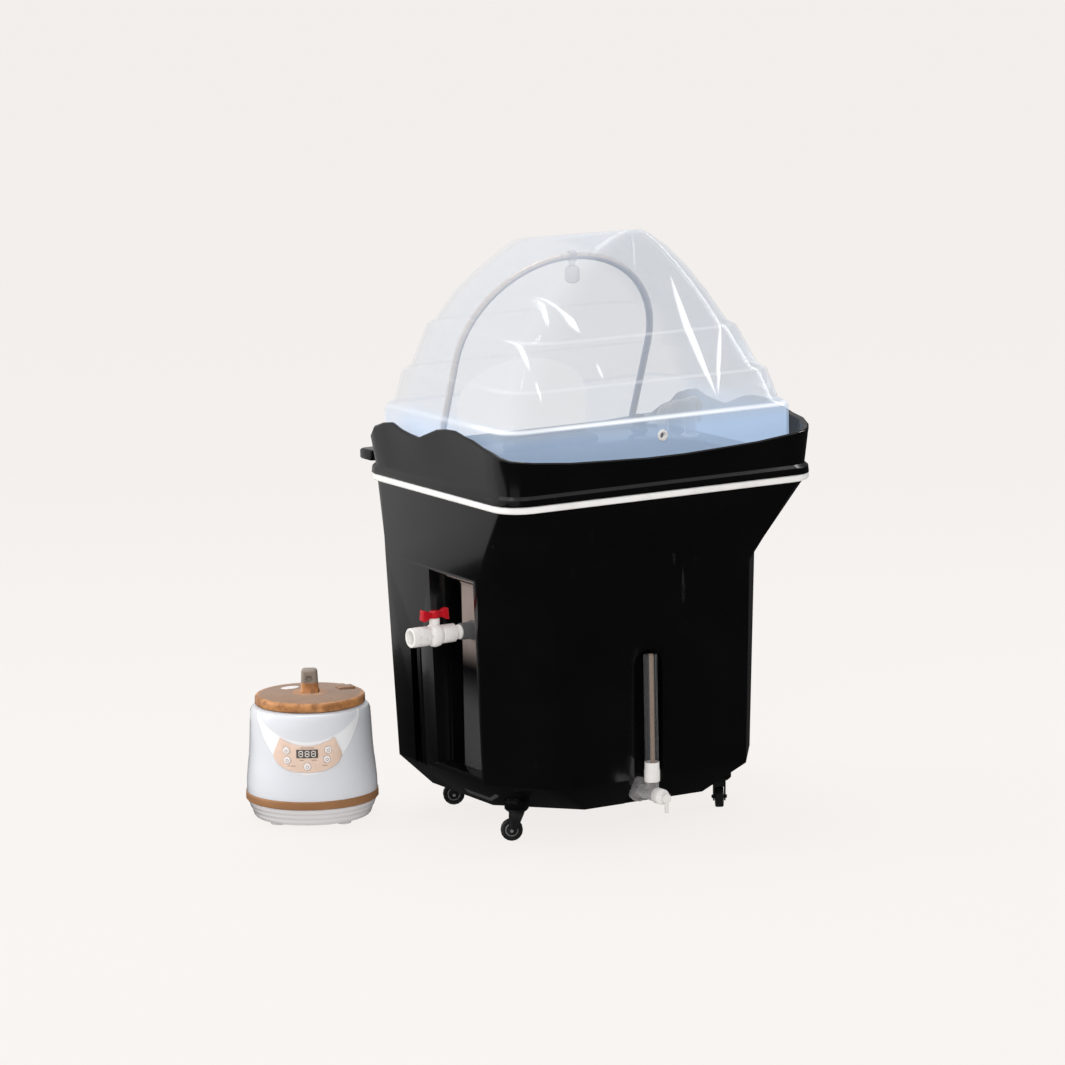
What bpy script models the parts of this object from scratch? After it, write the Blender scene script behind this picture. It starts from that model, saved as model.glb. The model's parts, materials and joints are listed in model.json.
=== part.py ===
"""Head steam basin on casters, with a lift-off clear hood and its own steamer.

Metres, +Z up, -Y is the front. Sizes are in millimetres and turned into metres as each mesh is made.
"""

import math

import bmesh
import bpy
from mathutils import Matrix, Vector

MM = 0.001
FIT = 0.3  # gap between pieces that touch, mm

# Cabinet
SHELL_WALL = 5.0
SHELL_BOTTOM_Z = 56.0
LOWER_CREASE_Z = 104.0
UPPER_CREASE_Z = 458.0
SHELL_TOP_Z = 592.0
STRIP_HEIGHT = 12.0
RIM_HALF_WIDTH = 310.0
RIM_FRONT_Y = -267.0
RIM_BACK_Y = 232.0
RIM_CORNER = 50.0

# Basin
LIP_WIDTH = 9.0
DECK_Z = 632.0
BASIN_WALL = 5.0
BOWL_FLOOR_Z = 508.0
BOWL_HALF_WIDTH = 236.0
BOWL_FRONT_Y = -196.0
BOWL_BACK_Y = 84.0
LEDGE_REACH = 31.0
LEDGE_Z = (620.0, 638.0)
DRAIN_SEAT_R = 34.0
DRAIN_HOLE_R = 22.0

# Hood
HOOD_WALL = 3.0
HOOD_HALF_WIDTH = 289.0
HOOD_FRONT_Y = -228.0
HOOD_BACK_Y = 208.0
HOOD_TOP_Z = 1037.0
HOOD_TOP_FALL = 47.0
NECK_HALF_WIDTH = 130.0
NECK_TOP_Z = 775.0
NECK_ARCH = 70.0
HOSE_HOLE_R = 7.0

# Spray arch
ARCH_TUBE_R = 6.25
ARCH_HALF_SPAN = 193.0
ARCH_RISE = 186.0
ARCH_LEG = 160.0
ARCH_LEAN = math.radians(22.0)
ARCH_PIVOT_Y = 158.0
ARCH_PIVOT_Z = 650.0

# Drain recess and drain valve, on the left side
RECESS_Y = (-92.0, 58.0)
RECESS_BACK_X = -240.0
RECESS_Z = (112.0, 440.0)
SLOT_Y = (14.0, 54.0)
SLOT_BACK_X = -208.0
DRAIN_Y = -22.0
DRAIN_Z = 356.0
DRAIN_SOCKET_R = 16.8
DRAIN_BORE_R = 12.8

# Level gauge, at the front
GAUGE_X = -10.0
GAUGE_Y = -222.0
GAUGE_TUBE_R = 11.4
GAUGE_TUBE_WALL = 2.0
GAUGE_TOP_Z = 318.0
GAUGE_TEE_Z = 78.0
GAUGE_RECESS_HALF = 28.5
GAUGE_RECESS_Y = -176.0

# Casters
WHEEL_R = 19.0
WHEEL_HALF = 7.2
AXLE_R = 3.2
CASTER_TRAIL = 9.0
CASTER_PLATE_R = 19.0
CASTERS = {
    "front_left": (-206.0, -100.0, 29.0),
    "front_right": (204.0, -98.0, 120.0),
    "back_left": (-152.0, 192.0, 27.0),
    "back_right": (152.0, 192.0, 70.0),
}

# Steamer
STEAMER_X = -405.0
STEAMER_Y = 262.0
STEAMER_TURN = math.radians(-31.8)
STEAMER_BASE_R = 114.0
BAND_Z = (36.0, 50.0)
STEAMER_TOP_Z = 201.0
POT_R = 82.0
POT_FLOOR_Z = 72.0
LID_R = 96.0
LID_THICK = 15.0
OUTLET_TOP_Z = 261.0
PANEL_THICK = 3.0
BUTTON_R = 6.2
BUTTON_TRAVEL = 1.0

# slot: (red, green, blue, alpha), roughness, metallic
LOOKS = {
    "black_shell": ((0.012, 0.012, 0.013, 1), 0.3, 0),
    "white_trim": ((0.8, 0.8, 0.78, 1), 0.4, 0),
    "black_rubber": ((0.02, 0.02, 0.02, 1), 0.6, 0),
    "clear_hood": ((0.75, 0.82, 0.9, 0.35), 0.1, 0),
    "clear_plastic": ((0.8, 0.84, 0.88, 0.4), 0.15, 0),
    "chrome": ((0.75, 0.73, 0.7, 1), 0.15, 1),
    "steel": ((0.6, 0.6, 0.6, 1), 0.3, 1),
    "grey_pvc": ((0.2, 0.2, 0.21, 1), 0.5, 0),
    "white_pvc": ((0.8, 0.79, 0.77, 1), 0.45, 0),
    "red_plastic": ((0.45, 0.01, 0.02, 1), 0.35, 0),
    "steamer_white": ((0.82, 0.82, 0.83, 1), 0.3, 0),
    "gold_trim": ((0.35, 0.2, 0.09, 1), 0.35, 0.6),
    "amber_lid": ((0.4, 0.22, 0.09, 0.8), 0.2, 0),
    "panel_beige": ((0.72, 0.55, 0.42, 1), 0.4, 0),
    "display_dark": ((0.03, 0.03, 0.035, 1), 0.2, 0),
    "button_beige": ((0.8, 0.66, 0.54, 1), 0.45, 0),
}


def clear_scene():
    for obj in list(bpy.data.objects):
        bpy.data.objects.remove(obj)


def collection(name, hidden=False):
    found = bpy.data.collections.new(name)
    bpy.context.scene.collection.children.link(found)
    found.hide_render = hidden
    return found


clear_scene()
PARTS = collection("head_steam_basin")
CUTTERS = collection("cutters", hidden=True)


def material(node, slot):
    color, roughness, metallic = LOOKS[slot]
    made = bpy.data.materials.new(node + "_" + slot)
    made.use_nodes = True
    shader = made.node_tree.nodes["Principled BSDF"]
    shader.inputs["Base Color"].default_value = color
    shader.inputs["Alpha"].default_value = color[3]
    shader.inputs["Roughness"].default_value = roughness
    shader.inputs["Metallic"].default_value = metallic
    return made


def stand(name, data, slot, origin=(0, 0, 0), axis=None):
    """Links the piece at its origin (mm), its Z turned to the axis. With no slot it is a hidden helper."""
    obj = bpy.data.objects.new(name, data)
    obj.location = Vector(origin) * MM
    if axis is not None:
        obj.rotation_euler = Vector(axis).to_track_quat("Z", "Y").to_euler()
    if slot:
        data.materials.append(material(name, slot))
        PARTS.objects.link(obj)
    else:
        obj.hide_render = True
        obj.display_type = "WIRE"
        CUTTERS.objects.link(obj)
    return obj


def finished(name, shape):
    """A mesh from a bmesh, facing out and shaded smooth up to its real edges."""
    bmesh.ops.recalc_face_normals(shape, faces=shape.faces)
    if shape.calc_volume(signed=True) < 0:
        bmesh.ops.reverse_faces(shape, faces=shape.faces)
    mesh = bpy.data.meshes.new(name)
    shape.to_mesh(mesh)
    shape.free()
    mesh.shade_smooth()
    mesh.set_sharp_from_angle(angle=math.radians(35))
    return mesh


def combine(obj, other, operation):
    """Adds or cuts with another mesh, exactly."""
    step = obj.modifiers.new(operation.lower(), "BOOLEAN")
    step.solver = "EXACT"
    step.operation = operation
    step.object = other
    return obj


def loft(name, rings, slot=None, loop=False, origin=(0, 0, 0)):
    """Skins unlike rings of equally many points. The ends are capped, unless the rings close into a loop."""
    shape = bmesh.new()
    shift = Vector(origin)
    rows = [[shape.verts.new((Vector(p) - shift) * MM) for p in ring] for ring in rings]
    following = rows[1:] + rows[:1] if loop else rows[1:]
    for low, high in zip(rows, following):
        for j, vert in enumerate(low):
            shape.faces.new((low[j - 1], vert, high[j], high[j - 1]))
    if not loop:
        shape.faces.new(reversed(rows[0]))
        shape.faces.new(rows[-1])
    return stand(name, finished(name, shape), slot, origin)


def prism(name, face, low, high, slot=None):
    """A flat outline of 3-D points, drawn out from low to high along the given vectors."""
    shape = bmesh.new()
    low, high = Vector(low), Vector(high)
    flat = shape.faces.new([shape.verts.new((Vector(p) + low) * MM) for p in face])
    drawn = bmesh.ops.extrude_face_region(shape, geom=[flat])["geom"]
    moved = [item for item in drawn if isinstance(item, bmesh.types.BMVert)]
    bmesh.ops.translate(shape, verts=moved, vec=(high - low) * MM)
    return stand(name, finished(name, shape), slot)


def block(name, low, high, slot=None):
    shape = bmesh.new()
    low, high = Vector(low), Vector(high)
    size = Matrix.Diagonal(((high - low) * MM).to_4d())
    bmesh.ops.create_cube(shape, size=1, matrix=Matrix.Translation((low + high) / 2 * MM) @ size)
    return stand(name, finished(name, shape), slot)


def turned(name, profile, centre, axis=(0, 0, 1), slot=None, steps=18, ring=False):
    """Turns (radius, height) pairs about the axis. A ring has a bore, and its profile closes on itself."""
    points = list(profile) if ring else [(0, profile[0][1]), *profile, (0, profile[-1][1])]
    pairs = zip(points, points[1:] + points[:1])
    if sum(r0 * h1 - r1 * h0 for (r0, h0), (r1, h1) in pairs) > 0:
        points.reverse()
    count = len(points)
    edges = [(i, (i + 1) % count) for i in range(count if ring else count - 1)]
    mesh = bpy.data.meshes.new(name)
    mesh.from_pydata([(r * MM, 0, h * MM) for r, h in points], edges, [])
    obj = stand(name, mesh, slot, centre, axis)
    turn = obj.modifiers.new("turn", "SCREW")
    turn.steps = turn.render_steps = steps
    turn.use_merge_vertices = True
    turn.merge_threshold = 0.00001
    return obj


def bar(name, path, radius, slot=None, swell=None, resolution=2, origin=(0, 0, 0)):
    """A round bar along the path, as a curve. Swell holds a share of the radius for each point."""
    curve = bpy.data.curves.new(name, "CURVE")
    curve.dimensions = "3D"
    curve.bevel_depth = radius * MM
    curve.bevel_resolution = resolution
    curve.use_fill_caps = True
    line = curve.splines.new("POLY")
    line.points.add(len(path) - 1)
    for i, p in enumerate(path):
        line.points[i].co = ((Vector(p) - Vector(origin)) * MM).to_4d()
        line.points[i].radius = swell[i] if swell else 1
    return stand(name, curve, slot, origin)


def as_mesh(obj):
    """The same piece as a welded mesh, which can be cut and can cut."""
    bpy.context.view_layer.update()
    found = obj.evaluated_get(bpy.context.evaluated_depsgraph_get())
    mesh = bpy.data.meshes.new_from_object(found)
    shape = bmesh.new()
    shape.from_mesh(mesh)
    bmesh.ops.remove_doubles(shape, verts=shape.verts, dist=0.00001)
    name, place = obj.name, obj.location / MM
    bpy.data.objects.remove(obj)
    return stand(name, finished(name, shape), None, place)


def attach(child, parent):
    """The child moves with its parent, from where it stands."""
    bpy.context.view_layer.update()
    child.parent = parent
    child.matrix_parent_inverse = parent.matrix_world.inverted()
    return child


def between(a, b, t):
    return a + (b - a) * t


def smooth(t):
    t = min(1.0, max(0.0, t))
    return t * t * (3 - 2 * t)


def lookup(table, value):
    """Smoothly joined heights along a side, from (place, height) pairs in rising order."""
    if value <= table[0][0]:
        return table[0][1]
    for (a, low), (b, high) in zip(table, table[1:]):
        if value <= b:
            return between(low, high, smooth((value - a) / (b - a)))
    return table[-1][1]


def outline(half, front, back, front_leg, back_leg, arc, steps=4, sides=(0, 0, 0, 0)):
    """Points of a four-sided plan with chamfered (arc 0) or round (arc 1) corners, from the left front on."""
    corners = (
        ((-half, front), (0, 1), (1, 0), front_leg),
        ((half, front), (-1, 0), (0, 1), front_leg),
        ((half, back), (0, -1), (-1, 0), back_leg),
        ((-half, back), (1, 0), (0, -1), back_leg),
    )
    points = []
    for number, ((x, y), inward, onward, leg) in enumerate(corners):
        start = (x + inward[0] * leg[0], y + inward[1] * leg[1])
        end = (x + onward[0] * leg[0], y + onward[1] * leg[1])
        for i in range(steps + 1):
            t = i / steps
            turn = t * math.pi / 2
            pull = (1 - math.sin(turn), 1 - math.cos(turn))
            rounded = [
                c + (s - c) * pull[0] + (e - c) * pull[1]
                for c, s, e in zip((x, y), start, end)
            ]
            straight = [between(s, e, t) for s, e in zip(start, end)]
            points.append([between(s, r, arc) for s, r in zip(straight, rounded)])
        (nx, ny), ahead, _, nleg = corners[(number + 1) % 4]
        target = (nx + ahead[0] * nleg[0], ny + ahead[1] * nleg[1])
        extra = sides[number]
        for i in range(1, extra + 1):
            points.append([between(e, g, i / (extra + 1)) for e, g in zip(end, target)])
    return points


def plan(half, front, back, corner, z, sides=(0, 0, 0, 0), steps=4):
    """One level ring with round corners. z is a height, or a function of x and y."""
    leg = (corner, corner)
    ring = outline(half, front, back, leg, leg, 1, steps, sides)
    return [(x, y, z(x, y) if callable(z) else z) for x, y in ring]


def arched(middle, half, low, high, rise, steps=10):
    """A doorway outline in its own plane: straight sides under half an ellipse."""
    points = [(middle - half, low), (middle + half, low)]
    for i in range(steps + 1):
        turn = math.pi * i / steps
        points.append((middle + half * math.cos(turn), high - rise + rise * math.sin(turn)))
    return points


# ---------------------------------------------------------------- cabinet


def shell_ring(z, half, front, back, front_leg, back_leg, arc, inset=0.0):
    ring = outline(half - inset, front + inset, back - inset, front_leg, back_leg, arc)
    return [(x, y, z) for x, y in ring]


def tub_shell():
    levels = [
        (SHELL_BOTTOM_Z, 228, -178, 215, (110, 120), (33, 65), 0.0),
        (LOWER_CREASE_Z, 267.5, -211, 211, (80.6, 112.5), (16, 16), 0.0),
        (UPPER_CREASE_Z, 278, -218, 225, (84, 113), (16, 16), 0.0),
        (
            SHELL_TOP_Z,
            RIM_HALF_WIDTH - 9,
            RIM_FRONT_Y + 9,
            RIM_BACK_Y - 9,
            (RIM_CORNER - 4,) * 2,
            (RIM_CORNER - 4,) * 2,
            1.0,
        ),
    ]
    outer = [shell_ring(*level) for level in levels]
    inner = [shell_ring(*level, inset=SHELL_WALL) for level in reversed(levels)]
    inner[-1] = [(x, y, z + SHELL_WALL) for x, y, z in inner[-1]]
    shell = loft("tub_shell", outer + inner, "black_shell")
    combine(shell, recess_block(), "UNION")
    combine(shell, gauge_block(), "UNION")
    combine(shell, recess_cutter(), "DIFFERENCE")
    combine(shell, slot_cutter(), "DIFFERENCE")
    combine(shell, gauge_cutter(), "DIFFERENCE")
    for number, y in enumerate((101, 117, 133)):
        combine(shell, flute_cutter(number, y), "DIFFERENCE")
    for name, (x, y, _turn) in CASTERS.items():
        boss = [(CASTER_PLATE_R + 2, 0), (CASTER_PLATE_R + 2, 14), (CASTER_PLATE_R - 4, 20)]
        combine(shell, turned(f"caster_boss_{name}", boss, (x, y, SHELL_BOTTOM_Z)), "UNION")
    return shell


def recess_block():
    """Walls of the drain recess, reaching into the tank from the middle of the left wall."""
    y0, y1 = RECESS_Y[0] - 6, RECESS_Y[1] + 7
    inside = SLOT_BACK_X + 6
    rings = []
    for z, x in ((LOWER_CREASE_Z + 2, -265.0), (UPPER_CREASE_Z, -275.5), (UPPER_CREASE_Z + 6, -276.2)):
        rings.append([(x, y0, z), (inside, y0, z), (inside, y1, z), (x, y1, z)])
    return loft("drain_recess_walls", rings)


def recess_cutter():
    z0, z1 = RECESS_Z
    side = [
        (-330, z0),
        (RECESS_BACK_X, z0 + 4),
        (RECESS_BACK_X, z1 - 10),
        (RECESS_BACK_X - 5, z1),
        (-279, z1 + 14),
        (-330, z1 + 15),
    ]
    face = [(x, 0, z) for x, z in side]
    return prism("drain_recess_cut", face, (0, RECESS_Y[0], 0), (0, RECESS_Y[1], 0))


def slot_cutter():
    """The deeper hose slot, with a round top."""
    middle = (SLOT_Y[0] + SLOT_Y[1]) / 2
    radius = (SLOT_Y[1] - SLOT_Y[0]) / 2
    face = arched(middle, radius, RECESS_Z[0] + 2, RECESS_Z[1] - 6, radius)
    face = [(0, y, z) for y, z in face]
    return prism("hose_slot_cut", face, (-330, 0, 0), (SLOT_BACK_X, 0, 0))


def gauge_block():
    """Walls of the gauge recess, following the front wall and the sloping skirt."""
    x0 = GAUGE_X - GAUGE_RECESS_HALF - 6
    x1 = GAUGE_X + GAUGE_RECESS_HALF + 6
    inside = GAUGE_RECESS_Y + 6
    rings = []
    for z, y in ((59, -177.0), (LOWER_CREASE_Z, -208.5), (345, -213.5)):
        rings.append([(x0, y, z), (x1, y, z), (x1, inside, z), (x0, inside, z)])
    return loft("gauge_recess_walls", rings)


def gauge_cutter():
    face = arched(GAUGE_X, GAUGE_RECESS_HALF, 40, GAUGE_TOP_Z + 9, GAUGE_RECESS_HALF)
    face = [(x, 0, z) for x, z in face]
    return prism("gauge_recess_cut", face, (0, -280, 0), (0, GAUGE_RECESS_Y, 0))


def flute_cutter(number, y):
    path = [(-264.5, y, 60), (-268.4, y, LOWER_CREASE_Z), (-274.8, y, 305), (-282, y, 316)]
    return as_mesh(bar(f"flute_cut_{number}", path, 3.8, resolution=1))


def circulation_pump():
    """The pump that stands on the tank's floor and feeds the spray arch."""
    profile = [(34, 0), (34, 6), (30, 8), (30, 62), (24, 66), (12, 66), (12, 84), (10, 86)]
    floor = SHELL_BOTTOM_Z + SHELL_WALL + FIT
    return turned("circulation_pump", profile, (96, 70, floor), slot="black_rubber")


def trim_strip():
    z = SHELL_TOP_Z + FIT
    high = STRIP_HEIGHT
    section = ((0, 0), (-2.2, 2.2), (-2.2, high - 2.2), (0, high), (14, high), (14, 0))
    rings = []
    for inset, rise in section:
        rings.append(
            plan(
                RIM_HALF_WIDTH - 3 - inset,
                RIM_FRONT_Y + 3 + inset,
                RIM_BACK_Y - 3 - inset,
                RIM_CORNER - inset,
                z + rise,
                steps=6,
            )
        )
    return loft("trim_strip", rings, "white_trim", loop=True)


# ---------------------------------------------------------------- basin

SIDE_TOP = (
    (-262, 681),
    (-200, 696),
    (-150, 706),
    (-85, 715),
    (-48, 712),
    (0, 698),
    (33, 687),
    (72, 691),
    (125, 702),
    (168, 695),
    (208, 668),
    (226, 650),
)
FRONT_TOP = ((0, 664), (150, 668), (240, 676), (290, 681))
BACK_TOP = ((0, 643), (180, 644), (270, 648), (300, 650))
RIM_SIDES = (6, 12, 6, 12)


def rim_top(x, y):
    """Height of the rim's crown: a sagging front, two waves along each side and a low back for the neck."""
    side = lookup(SIDE_TOP, y)
    across = lookup(FRONT_TOP if y < 0 else BACK_TOP, abs(x))
    ends = smooth((abs(y) - (200 if y < 0 else 190)) / 50)
    inside = 1 - smooth((abs(x) - (RIM_HALF_WIDTH - 60)) / 50)
    return between(side, across, max(ends * inside, inside if abs(y) > 215 else 0.0))


def basin_ring(inset, z, corner=None, drop=None):
    height = z if drop is None else (lambda x, y: rim_top(x, y) - drop)
    return plan(
        RIM_HALF_WIDTH - inset,
        RIM_FRONT_Y + inset,
        RIM_BACK_Y - inset,
        corner if corner is not None else RIM_CORNER - inset * 0.6,
        height,
        RIM_SIDES,
    )


def bowl_ring(scale, z, grow=0.0):
    """A ring of the bowl, from its mouth (scale 1) in to its floor."""
    middle = (BOWL_FRONT_Y + BOWL_BACK_Y) / 2
    deep = (BOWL_BACK_Y - BOWL_FRONT_Y) / 2
    return plan(
        BOWL_HALF_WIDTH * scale + grow,
        middle - deep * scale - grow,
        middle + deep * scale + grow,
        min(90 * scale + grow, deep * scale),
        z,
        RIM_SIDES,
    )


def basin():
    bottom = SHELL_TOP_Z + STRIP_HEIGHT + 2 * FIT
    wall = BASIN_WALL
    top = [
        bowl_ring(0.5, BOWL_FLOOR_Z),
        bowl_ring(0.66, BOWL_FLOOR_Z + 8),
        bowl_ring(0.9, between(BOWL_FLOOR_Z, DECK_Z, 0.6)),
        bowl_ring(0.98, DECK_Z - 7),
        bowl_ring(1.0, DECK_Z),
        basin_ring(20, DECK_Z, 34),
        basin_ring(15, DECK_Z + 4, 36),
        basin_ring(LIP_WIDTH + 1, 0, drop=4),
        basin_ring(LIP_WIDTH - 3, 0, drop=0.8),
        basin_ring(2.5, 0, drop=0),
        basin_ring(0.2, 0, drop=2.5),
        basin_ring(1.0, 0, drop=7),
        basin_ring(7, bottom + 16),
        basin_ring(1.5, bottom + 11),
        basin_ring(0.5, bottom),
    ]
    under = [
        basin_ring(17, bottom, 36),
        basin_ring(20, DECK_Z - wall, 34),
        bowl_ring(0.98, DECK_Z - 7 - wall, wall),
        bowl_ring(0.9, between(BOWL_FLOOR_Z, DECK_Z, 0.6) - wall, wall),
        bowl_ring(0.66, BOWL_FLOOR_Z + 8 - wall, wall),
        bowl_ring(0.5, BOWL_FLOOR_Z - wall),
    ]
    tub = loft("basin", top + under, "black_shell")
    combine(tub, ledge_block(), "UNION")
    middle = (BOWL_FRONT_Y + BOWL_BACK_Y) / 2
    floor = (0, middle, BOWL_FLOOR_Z)
    seat = turned("strainer_seat_cut", [(DRAIN_SEAT_R, -1.6), (DRAIN_SEAT_R, 9)], floor)
    hole = turned("drain_hole_cut", [(DRAIN_HOLE_R, -20), (DRAIN_HOLE_R, 9)], floor)
    combine(tub, seat, "DIFFERENCE")
    return combine(tub, hole, "DIFFERENCE")


def ledge_block():
    """The lip along the back that rests on the edge of a couch."""
    half = RIM_HALF_WIDTH - 14
    rings = []
    for z, inset in ((LEDGE_Z[0], 2), (LEDGE_Z[0] + 2, 0), (LEDGE_Z[1] - 3, 0), (LEDGE_Z[1], 3)):
        rings.append(plan(half - inset, RIM_BACK_Y - 11, RIM_BACK_Y + LEDGE_REACH - inset, 6, z, steps=2))
    return loft("back_ledge", rings)


def strainer():
    middle = (BOWL_FRONT_Y + BOWL_BACK_Y) / 2
    radius = DRAIN_SEAT_R - 0.6
    profile = [
        (DRAIN_HOLE_R - 1, -5),
        (DRAIN_HOLE_R - 1, -1.6 + FIT),
        (radius, -1.6 + FIT),
        (radius, 0.4),
        (radius - 7, 2.0),
        (radius - 20, 4.0),
        (4, 5.0),
        (4, 2.2),
        (radius - 20, 1.0),
        (DRAIN_HOLE_R - 4, -1.0),
        (DRAIN_HOLE_R - 4, -5),
    ]
    return turned("drain_strainer", profile, (0, middle, BOWL_FLOOR_Z), slot="steel", ring=True)


def head_rest():
    """A tapered padded bar across the back of the bowl."""
    rings = []
    base = DECK_Z + FIT
    for x, wide, tall in (
        (-100, 6, 6),
        (-96, 16, 12),
        (-82, 21, 17),
        (-40, 23, 18),
        (0, 23, 17.5),
        (40, 23, 18),
        (82, 21, 17),
        (96, 16, 12),
        (100, 6, 6),
    ):
        ring = []
        for i in range(10):
            turn = math.pi * i / 9
            ring.append((x, 111 + wide * math.cos(turn), base + tall * math.sin(turn)))
        rings.append(ring)
    return loft("head_rest", rings, "black_rubber")


# ---------------------------------------------------------------- hood

HOOD_LEVELS = (
    # height, half width, front y, back y, corner radius
    (DECK_Z + 0.4, 0, 0, 0, 38),
    (716, 0, 0, 0, 38),
    (723, 3, 1, 1, 40),
    (729, 14, 6, 5, 44),
    (779, 25, 18, 7, 52),
    (788, 40, 22, 9, 56),
    (855, 70, 38, 10, 60),
    (864, 87, 41, 11, 60),
    (918, 124, 46, 13, 60),
    (966, 162, 48, 15, 60),
    (1002, 204, 50, 17, 46),
    (1026, 244, 53, 20, 26),
    (1035, 268, 58, 25, 12),
)
HOOD_SIDES = (3, 4, 5, 4)


def hood_ring(z, narrow, front, back, corner, wall=0.0):
    y0 = HOOD_FRONT_Y + front + wall
    y1 = HOOD_BACK_Y - back - wall
    half = HOOD_HALF_WIDTH - narrow - wall
    fall = HOOD_TOP_FALL * smooth((z - 866) / (HOOD_TOP_Z - 866))
    drop = wall * smooth((z - 900) / 100)

    def height(_x, y):
        return z - drop - fall * (y - y0) / (y1 - y0)

    return plan(half, y0, y1, min(corner, half * 0.9), height, HOOD_SIDES)


def hood():
    outer = [hood_ring(*level) for level in reversed(HOOD_LEVELS)]
    inner = [hood_ring(*level, wall=HOOD_WALL) for level in HOOD_LEVELS]
    clear = loft("hood", outer + inner, "clear_hood")
    combine(clear, neck_cutter(), "DIFFERENCE")
    x, y, z = hose_hole()
    hole = turned("hose_hole_cut", [(HOSE_HOLE_R, -12), (HOSE_HOLE_R, 12)], (x, y, z), (0, 1, 0))
    return combine(clear, hole, "DIFFERENCE")


def neck_cutter():
    face = arched(0, NECK_HALF_WIDTH, DECK_Z - 20, NECK_TOP_Z, NECK_ARCH)
    face = [(x, 0, z) for x, z in face]
    return prism("neck_opening_cut", face, (0, HOOD_BACK_Y - 30, 0), (0, HOOD_BACK_Y + 20, 0))


def hose_hole():
    return (17.0, HOOD_FRONT_Y, 692.0)


def hose_grommet():
    sleeve = HOSE_HOLE_R - 0.4
    bore = HOSE_HOLE_R - 1.6
    profile = [
        (bore, -HOOD_WALL - 2),
        (sleeve, -HOOD_WALL - 2),
        (sleeve, FIT),
        (HOSE_HOLE_R + 2.8, FIT),
        (HOSE_HOLE_R + 2.8, 1.6),
        (HOSE_HOLE_R + 2, 2.4),
        (bore, 2.4),
    ]
    return turned("hose_grommet", profile, hose_hole(), (0, -1, 0), "clear_plastic", steps=20, ring=True)


# ---------------------------------------------------------------- spray arch


def arch_point(x, along):
    """A point of the leaning arch, from its distance up the arch's own plane."""
    return (
        x,
        ARCH_PIVOT_Y - along * math.sin(ARCH_LEAN),
        ARCH_PIVOT_Z + along * math.cos(ARCH_LEAN),
    )


def spray_arch():
    reach = ARCH_HALF_SPAN + 22
    bend = 9.0
    half = [(reach, 0), (ARCH_HALF_SPAN + bend, 0), (ARCH_HALF_SPAN + 2.6, 2.6), (ARCH_HALF_SPAN, bend)]
    half.append((ARCH_HALF_SPAN, ARCH_LEG * 0.5))
    steps = 14
    for i in range(steps + 1):
        turn = math.pi / 2 * i / steps
        half.append((ARCH_HALF_SPAN * math.cos(turn), ARCH_LEG + ARCH_RISE * math.sin(turn)))
    path = [arch_point(-x, s) for x, s in half]
    path += [arch_point(x, s) for x, s in reversed(half[:-1])]
    pivot = (0, ARCH_PIVOT_Y, ARCH_PIVOT_Z)
    return bar("spray_arch", path, ARCH_TUBE_R, "chrome", origin=pivot)


def arch_socket(name, side):
    """A block on the deck with a bearing hole for the turned-out end of the arch."""
    x = side * (ARCH_HALF_SPAN + 17)
    rings = []
    base = DECK_Z + FIT
    levels = [(base, 9, 15), (base + 3, 9, 15), (base + 6, 7.5, 11)]
    levels += [(ARCH_PIVOT_Z + 6, 7.5, 10.5), (ARCH_PIVOT_Z + 11, 6, 6)]
    for z, half, deep in levels:
        rings.append(
            [
                (x - half, ARCH_PIVOT_Y - deep, z),
                (x + half, ARCH_PIVOT_Y - deep, z),
                (x + half, ARCH_PIVOT_Y + deep, z),
                (x - half, ARCH_PIVOT_Y + deep, z),
            ]
        )
    block = loft(name, rings, "black_rubber")
    radius = ARCH_TUBE_R + 0.7
    pivot = (x, ARCH_PIVOT_Y, ARCH_PIVOT_Z)
    hole = turned(name + "_cut", [(radius, -20), (radius, 20)], pivot, (1, 0, 0), steps=16)
    return combine(block, hole, "DIFFERENCE")


def spray_nozzle(arch):
    """A clear nozzle that hangs from a ring round the top of the arch."""
    apex = arch_point(0, ARCH_LEG + ARCH_RISE)
    inner = ARCH_TUBE_R + FIT
    ring = [(inner, -6), (inner + 3, -6), (inner + 3, 6), (inner, 6)]
    band = turned("spray_nozzle", ring, apex, (1, 0, 0), "clear_plastic", steps=16, ring=True)
    z = -inner
    stem = [(5, z - 1), (5, z - 9), (11, z - 12), (13, z - 16), (13, z - 33), (10, z - 38), (5, z - 40)]
    combine(band, turned("spray_nozzle_stem", stem, apex, steps=16), "UNION")
    return attach(band, arch)


# ---------------------------------------------------------------- feed valve

FEED_X = 238.0
FEED_Y = 48.0
FEED_Z = 686.0
FEED_HOSE_R = 10.0


def feed_valve():
    """Clear tap on the deck: an upright neck with a cross barrel."""
    base = DECK_Z + FIT
    neck = [(16, 0), (16, 4), (10, 7), (10, FEED_Z - base)]
    body = turned("feed_valve", neck, (FEED_X + 8, FEED_Y, base), slot="clear_plastic", steps=16)
    barrel = [(9, -31), (11, -31), (11, -24), (13.5, -22), (13.5, 6), (16, 8), (16, 20), (13, 23), (9, 23)]
    cross = turned("feed_barrel", barrel, (FEED_X, FEED_Y, FEED_Z), (1, 0, 0), steps=16)
    return combine(body, cross, "UNION")


def feed_hose():
    """A short ribbed hose that turns down from the barrel into the bowl."""
    start = Vector((FEED_X - 31 - FIT, FEED_Y, FEED_Z))
    bend = start + Vector((-4, 0, 0))
    path = [start, bend]
    swell = [0.95, 0.95]
    for i in range(1, 8):
        turn = math.pi / 2 * i / 7
        path.append(bend + Vector((-14 * math.sin(turn), 0, -14 * (1 - math.cos(turn)))))
        swell.append(0.95)
    low = path[-1]
    for i in range(1, 15):
        path.append(low + Vector((0, -0.5 * i, -1.9 * i)))
        swell.append(1.06 if i % 2 else 0.86)
    return bar("feed_hose", path, FEED_HOSE_R, "clear_plastic", swell)


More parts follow.
